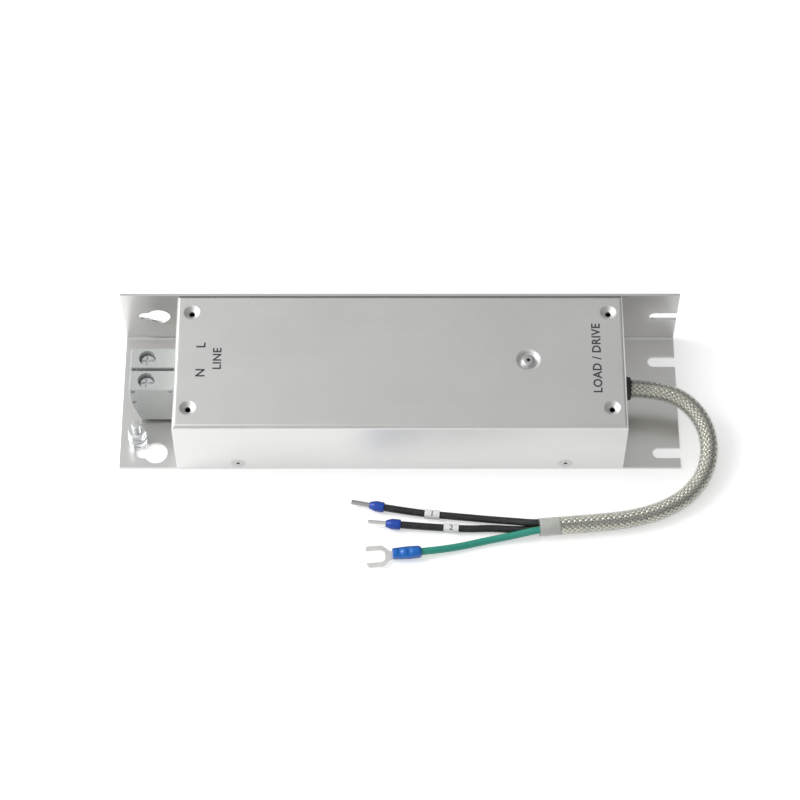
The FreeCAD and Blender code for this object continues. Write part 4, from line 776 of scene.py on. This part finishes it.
# Cover
# A folded sheet box is riveted over the chassis. Its lid has four tapped dimples for the unit
# that stands on it, and a dished rivet that holds the screen bracket inside.
cover_metal = surface_finish(
    "cover_metal", rolled_sheet, {"Colour": (0.80, 0.80, 0.79), "Shine": 0.42, "Grain": 0.05},
    metallic=1.0, bump=0.10, depth=0.00003)


def cut_out(piece, cutter):
    """Takes the cutter's form out of a piece and removes the cutter."""
    pick(piece)
    cut = piece.modifiers.new("cut", "BOOLEAN")
    cut.object = cutter
    cut.solver = "EXACT"
    bpy.ops.object.modifier_apply(modifier=cut.name)
    bpy.data.objects.remove(cutter)


def rounded_rim(piece, spot, radius, reach, slope):
    """Cuts the sharp rim of a dimple back to the soft round that a press tool leaves."""
    rim = Vector((radius, 0.0, 0.0))
    outer = rim + Vector((reach, 0.0, 0.0))
    inner = rim - reach * Vector((math.cos(slope), 0.0, math.sin(slope)))
    clear_of_slope = 0.00003
    inner += clear_of_slope * Vector((-math.sin(slope), 0.0, math.cos(slope)))
    arc_steps = 7
    shares = [i / arc_steps for i in range(arc_steps + 1)]
    arc = [outer * (1 - s) ** 2 + rim * 2 * s * (1 - s) + inner * s ** 2 for s in shares]
    above = Vector((0.0, 0.0, 0.001))
    outline = [above, outer + above] + arc + [Vector((0.0, 0.0, inner.z))]
    mesh = bpy.data.meshes.new("rim_cutter")
    edges = [(i, i + 1) for i in range(len(outline) - 1)]
    mesh.from_pydata([spot + point for point in outline], edges, [])
    cutter = bpy.data.objects.new("rim_cutter", mesh)
    scene.collection.objects.link(cutter)
    pick(cutter)
    bpy.ops.object.mode_set(mode="EDIT")
    bpy.ops.mesh.select_all(action="SELECT")
    bpy.ops.mesh.spin(steps=48, angle=2 * math.pi, center=spot, axis=(0.0, 0.0, 1.0))
    bpy.ops.mesh.select_all(action="SELECT")
    bpy.ops.mesh.remove_doubles(threshold=0.000001)
    bpy.ops.mesh.normals_make_consistent(inside=False)
    bpy.ops.object.mode_set(mode="OBJECT")
    cut_out(piece, cutter)


lid_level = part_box("cover")[1].z
dimple_spots = [Vector((x, y, lid_level)) for x in (-0.0925, 0.0925) for y in (-0.0245, 0.0245)]
dimple_radius, dimple_rim = 0.0035, 0.0004
dimple_slope = math.atan2(0.0017, 0.00225)
dish_spot = Vector((0.0565, 0.0, lid_level))
dish_radius, dish_rim = 0.0048, 0.0010
dish_slope = math.atan2(0.0012, 0.0012)
cover_shell = refined("cover", "cover_shell", edge=0.0)
for dimple_spot in dimple_spots:
    rounded_rim(cover_shell, dimple_spot, dimple_radius, dimple_rim, dimple_slope)
rounded_rim(cover_shell, dish_spot, dish_radius, dish_rim, dish_slope)
eased_edges(cover_shell, 0.00012)
settle(cover_shell, cover_metal, "cover_sheet", "cover")

# Rivets
# Countersunk blind rivets of aluminium hold the cover to the chassis, and a dome head rivet
# with its broken stem sits in the dish of the lid.
rivet_metal = surface_finish("rivet_aluminium", plated_metal,
                             {"Colour": (0.66, 0.66, 0.655), "Shine": 0.36, "Cloud": 0.2}, metallic=1.0)
for source, name in (("front_rivets", "front_rivet_heads"), ("back_rivets", "back_rivet_heads"),
                     ("lid_rivet", "lid_rivet_dome")):
    settle(refined(source, name, edge=0.00008), rivet_metal, "rivet", source)

# Printing
# The ports are printed on the lid in dark grey ink, and read from the right hand side.
ink = surface_finish(
    "printing_ink", plastic_skin,
    {"Colour": (0.045, 0.045, 0.05), "Shine": 0.55, "Cloud": 0.6, "Cloud Scale": 900.0})
printed_words = (
    ("letter_L", "L", 0.0057, (-0.0876, 0.0074), 1.0),
    ("letter_N", "N", 0.0057, (-0.0875, -0.0067), 1.0),
    ("word_line", "LINE", 0.0052, (-0.0803, 0.0005), 1.08),
    ("word_load", "LOAD / DRIVE", 0.0054, (0.0868, 0.0009), 1.06),
)
stroke = 0.00011
ink_level = lid_level + 0.00002
for name, words, size, (x, y), spacing in printed_words:
    letters = lettering(name, words, size, Vector((x, y, ink_level)), 90.0, stroke, spacing)
    settle(letters, ink, "cover_sheet")

# Terminals
# Two feed-through terminals of moulded grey polyamide snap into the left end wall. A steel cage
# in each is drawn up by its screw and clamps the wire against a copper bar.
grey_polyamide = surface_finish("grey_polyamide", plastic_skin,
                                {"Colour": (0.50, 0.52, 0.505), "Shine": 0.46, "Cloud": 0.07}, bump=0.2)
zinc_plate = surface_finish(
    "bright_zinc_plate", plated_metal,
    {"Colour": (0.80, 0.82, 0.83), "Shine": 0.24, "Cloud": 0.2, "Cloud Scale": 260.0}, metallic=1.0)
bar_copper = surface_finish("bar_copper", plated_metal, {"Colour": (0.72, 0.44, 0.30), "Shine": 0.36},
                            metallic=1.0)
for pole in ("line", "neutral"):
    housing = refined("terminal_housing_" + pole, "pole_block_" + pole, edge=0.00022, segments=3,
                      sharp=40.0)
    settle(housing, grey_polyamide, "terminal_plastic", "terminal_housing_" + pole)
    cage = refined("terminal_cage_" + pole, "clamp_cage_" + pole, edge=0.00015)
    settle(cage, zinc_plate, "bright_zinc", "terminal_cage_" + pole)
    bar = refined("current_bar_" + pole, "bar_" + pole, edge=0.0001)
    settle(bar, bar_copper, "copper", "current_bar_" + pole)

screw_low, screw_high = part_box("terminal_screws")
screw_x = (screw_low.x + screw_high.x) / 2
screw_row = (screw_high.y - screw_low.y) / 2 - (screw_high.x - screw_low.x) / 2
drive_slot = (0.0010, 0.0042, 0.0030)
clamp_screws = refined("terminal_screws", "clamp_screws", edge=0.0)
for y in (-screw_row, screw_row):
    bpy.ops.mesh.primitive_cube_add(size=1.0, location=(screw_x, y, screw_high.z))
    slot_bit = bpy.context.active_object
    slot_bit.scale = drive_slot
    bpy.ops.object.transform_apply(location=True, rotation=True, scale=True)
    cut_out(clamp_screws, slot_bit)
eased_edges(clamp_screws, 0.0001)
settle(clamp_screws, zinc_plate, "bright_zinc", "terminal_screws")

# Earth stud
# A threaded stud pressed into the base plate carries a lock washer, two nuts, two plain washers
# and a spring washer, all bright zinc plated.
stud_low, stud_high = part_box("earth_stud")
stud_centre = (stud_low + stud_high) / 2
stud_radius = 0.0020
seat_radius = (stud_high.x - stud_low.x) / 2 - 0.00005
seat_height = 0.0008
thread_pitch = 0.0007
thread_depth = 0.00036
thread_base = 0.0012
plain_tip = 0.0004
tip_short = 0.0001
bpy.ops.object.select_all(action="DESELECT")
bpy.ops.mesh.primitive_cylinder_add(
    vertices=28, radius=seat_radius, depth=seat_height,
    location=(stud_centre.x, stud_centre.y, stud_low.z + seat_height / 2))
threaded_stud = bpy.context.active_object
threaded_stud.name = "threaded_stud"
bpy.ops.object.transform_apply(location=True, rotation=True, scale=True)
bpy.ops.object.mode_set(mode="EDIT")
bpy.ops.mesh.select_all(action="DESELECT")
shape = bmesh.from_edit_mesh(threaded_stud.data)
for face in shape.faces:
    face.select = face.normal.z > 0.9
bmesh.update_edit_mesh(threaded_stud.data)


def step_up(rise, radius_before, radius_after):
    """Extrudes the selected top face upwards and sets its radius."""
    bpy.ops.mesh.extrude_region_move(TRANSFORM_OT_translate={"value": (0.0, 0.0, rise)})
    share = radius_after / radius_before
    bpy.ops.transform.resize(value=(share, share, 1.0), center_override=tuple(stud_centre))


step_up(0.0, seat_radius, stud_radius)
step_up(thread_base - seat_height, stud_radius, stud_radius)
level = stud_low.z + thread_base
while level + thread_pitch < stud_high.z - plain_tip:
    step_up(thread_pitch / 2, stud_radius, stud_radius - thread_depth)
    step_up(thread_pitch / 2, stud_radius - thread_depth, stud_radius)
    level += thread_pitch
step_up(stud_high.z - level - tip_short, stud_radius, stud_radius - thread_depth)
bpy.ops.object.mode_set(mode="OBJECT")
threaded_stud.data.name = "threaded_stud"
eased_edges(threaded_stud, 0.0, 1, 50.0)
settle(threaded_stud, zinc_plate, "bright_zinc", "earth_stud")
for source, name in (("earth_nuts", "hex_nuts"), ("earth_washers", "plain_washers"),
                     ("earth_lock_washer", "toothed_washer"), ("earth_spring_washer", "split_washer")):
    settle(refined(source, name, edge=0.00012), zinc_plate, "bright_zinc", source)

# Cable bush
# A grommet of black rubber holds the edge of the hole in the right end wall in its groove, and
# the cable goes through its bore.
black_rubber = surface_finish("black_rubber", plastic_skin,
                              {"Colour": (0.028, 0.028, 0.028), "Shine": 0.6, "Cloud": 0.3}, bump=0.4)
rubber_bush = refined("cable_bush", "rubber_bush", edge=0.0002, segments=3)
settle(rubber_bush, black_rubber, "black_rubber", "cable_bush")

# Circuit board and what stands on it
# Inside the closed cover, a coated glass laminate on plated posts carries the common mode choke,
# the capacitors and the bleed resistor. Their solids stay, and each gets its own finish.
choke_low, choke_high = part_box("choke_core")
choke_centre = (choke_low + choke_high) / 2

board_coat, given, result = new_group(
    "board_coat", {"Colour": (0.022, 0.15, 0.06), "Track": (0.035, 0.235, 0.09)})
place = node(board_coat, "TexCoord").outputs["Object"]
nearest, second = (node(board_coat, "TexVoronoi", {"Vector": place, "Scale": 75.0}, feature=feature,
                        distance="MANHATTAN").outputs["Distance"] for feature in ("F1", "F2"))
track = ramp(board_coat, math_of(board_coat, "SUBTRACT", second, nearest), 0.10, 0.14)
weave = node(board_coat, "TexChecker", {"Vector": place, "Scale": 2400.0}).outputs["Fac"]
coat = mix_of(board_coat, track, given["Colour"], given["Track"])
give_out(board_coat, result, toned(board_coat, coat, ramp(board_coat, weave, 0.0, 1.0, 0.93, 1.0)),
         ramp(board_coat, track, 0.0, 1.0, 0.42, 0.3), track)

wound_wire, given, result = new_group("wound_wire", {"Colour": (0.55, 0.2, 0.08), "Turns": 120.0})
place = node(wound_wire, "TexCoord").outputs["Object"]
centred = node(wound_wire, "Mapping", {"Vector": place, "Location": tuple(-choke_centre)}).outputs[0]
spot = node(wound_wire, "SeparateXYZ", {0: centred}).outputs
angle = math_of(wound_wire, "ARCTAN2", spot["Y"], spot["X"])
ripple = math_of(wound_wire, "SINE", math_of(wound_wire, "MULTIPLY", angle, given["Turns"]))
turn = math_of(wound_wire, "ABSOLUTE", ripple)
gloss = ramp(wound_wire, noise_of(wound_wire, place, 500.0), 0.3, 0.7, 0.9, 1.1)
# The grooves between the turns are painted darker, as painted shade.
shade = product_of(wound_wire, ramp(wound_wire, turn, 0.0, 0.7, 0.45, 1.0), gloss)
give_out(wound_wire, result, toned(wound_wire, given["Colour"], shade),
         ramp(wound_wire, turn, 0.0, 1.0, 0.5, 0.25), turn)

banded_coat, given, result = new_group(
    "banded_coat", {"Colour": (0.56, 0.46, 0.28), "Band": (0.2, 0.05, 0.02)})
place = node(banded_coat, "TexCoord").outputs["Object"]
spot = node(banded_coat, "SeparateXYZ", {0: place}).outputs
ringed = math_of(banded_coat, "SINE", math_of(banded_coat, "MULTIPLY", spot["Y"], 3200.0))
band = math_of(banded_coat, "GREATER_THAN", ringed, 0.55)
coat = mix_of(banded_coat, band, given["Colour"], given["Band"])
mottle = noise_of(banded_coat, place, 900.0)
give_out(banded_coat, result, toned(banded_coat, coat, ramp(banded_coat, mottle, 0.3, 0.7, 0.93, 1.05)),
         ramp(banded_coat, mottle, 0.3, 0.7, 0.28, 0.4), mottle)

inner_finishes = {
    "board": surface_finish("coated_laminate", board_coat, {}, bump=0.3),
    "black_plastic": surface_finish("black_moulding", plastic_skin,
                                    {"Colour": (0.03, 0.03, 0.03), "Shine": 0.5}),
    "ferrite": surface_finish(
        "coated_ferrite", plastic_skin,
        {"Colour": (0.10, 0.10, 0.11), "Shine": 0.42, "Cloud": 0.25, "Cloud Scale": 300.0}),
    "copper": bar_copper,
    "capacitor_case": surface_finish("capacitor_moulding", plastic_skin,
                                     {"Colour": (0.68, 0.52, 0.07), "Shine": 0.4}),
    "resistor_coat": surface_finish("resistor_lacquer", banded_coat, {}, bump=0.2),
    "bright_zinc": zinc_plate,
    "braid": under_braid,
    "black_insulation": surface_finish("inner_black_pvc", plastic_skin,
                                       {"Colour": (0.022, 0.022, 0.024), "Cloud": 0.2}),
    "green_insulation": surface_finish("inner_green_pvc", plastic_skin,
                                       {"Colour": (0.035, 0.30, 0.20), "Cloud": 0.2}),
}
winding_enamel = surface_finish("winding_enamel", wound_wire, {}, metallic=0.6, bump=0.6, depth=0.0003)
for row in frame["record"]["subparts"]:
    kept = frame["nodes"][row["node"]]
    if kept.hide_render:
        continue
    wound = row["node"].startswith("choke_winding")
    kept.data.materials.clear()
    kept.data.materials.append(winding_enamel if wound else inner_finishes[row["material_slot"]])

# Floor and light
# A matt white sheet lies under the filter and glows a little. A wide soft sky, brightest at the
# left, fills the scene, and one broad lamp at the left throws the soft shadows to the right.
floor_half = 4.0
floor_level = -0.0001
seen_glow, mirrored_glow = 0.42, 0.32
bpy.ops.object.select_all(action="DESELECT")
bpy.ops.mesh.primitive_plane_add(size=2 * floor_half, location=(0.0, 0.0, floor_level))
floor = bpy.context.active_object
floor.name = "floor"
bpy.ops.object.transform_apply(location=True, rotation=True, scale=True)
paper = bpy.data.materials.new("floor_paper")
paper.use_nodes = True
tree = paper.node_tree
sockets = tree.nodes["Principled BSDF"].inputs
sockets["Base Color"].default_value = (0.90, 0.90, 0.90, 1.0)
sockets["Roughness"].default_value = 1.0
sockets["Specular IOR Level"].default_value = 0.0
sockets["Emission Color"].default_value = (1.0, 1.0, 1.0, 1.0)
seen = node(tree, "LightPath").outputs
mirrored = math_of(tree, "MAXIMUM", seen["Is Glossy Ray"], seen["Is Transmission Ray"])
glow = math_of(tree, "MAXIMUM", math_of(tree, "MULTIPLY", seen["Is Camera Ray"], seen_glow),
               math_of(tree, "MULTIPLY", mirrored, mirrored_glow))
tree.links.new(glow, sockets["Emission Strength"])
floor.data.materials.append(paper)

sky_left, sky_right = 0.50, 0.20
low_band = 0.32
soft_lights = [((-0.80, 0.02, 0.60), 2.5, 0.60), ((0.80, -0.20, 0.60), 4.0, 0.15)]
world = bpy.data.worlds.new("studio")
scene.world = world
world.use_nodes = True
tree = world.node_tree
direction = node(tree, "TexCoord").outputs["Generated"]
parts = node(tree, "SeparateXYZ", {0: direction}).outputs
horizon = math_of(tree, "MULTIPLY", ramp(tree, parts["Z"], 0.05, 0.45, low_band, 0.0),
                  ramp(tree, parts["X"], 0.1, 0.8, 1.0, 0.15))
strength = math_of(tree, "ADD", ramp(tree, parts["X"], -0.4, 0.75, sky_left, sky_right), horizon)
for way, power, height in soft_lights:
    soft_way = tuple(Vector(way).normalized())
    toward = node(tree, "VectorMath", {0: direction, 1: soft_way}, operation="DOT_PRODUCT")
    lobe = math_of(tree, "POWER", math_of(tree, "MAXIMUM", toward.outputs["Value"], 0.0), power)
    strength = math_of(tree, "ADD", strength, math_of(tree, "MULTIPLY", lobe, height))
strength = math_of(tree, "MAXIMUM", strength, node(tree, "LightPath").outputs["Is Camera Ray"])
tree.links.new(strength, tree.nodes["Background"].inputs["Strength"])
tree.nodes["Background"].inputs["Color"].default_value = (1.0, 1.0, 1.0, 1.0)

lamp_spot = Vector((-1.05, 0.15, 0.95))
lamp_aim = Vector((0.0, -0.01, 0.0))
lamp_size = 0.8
lamp_power = 10.0
lamp_data = bpy.data.lights.new("key_light", "AREA")
lamp_data.shape = "DISK"
lamp_data.size = lamp_size
lamp_data.energy = lamp_power
lamp = bpy.data.objects.new("key_light", lamp_data)
lamp.location = lamp_spot
lamp.rotation_euler = (lamp_aim - lamp_spot).to_track_quat("-Z", "Y").to_euler()
scene.collection.objects.link(lamp)
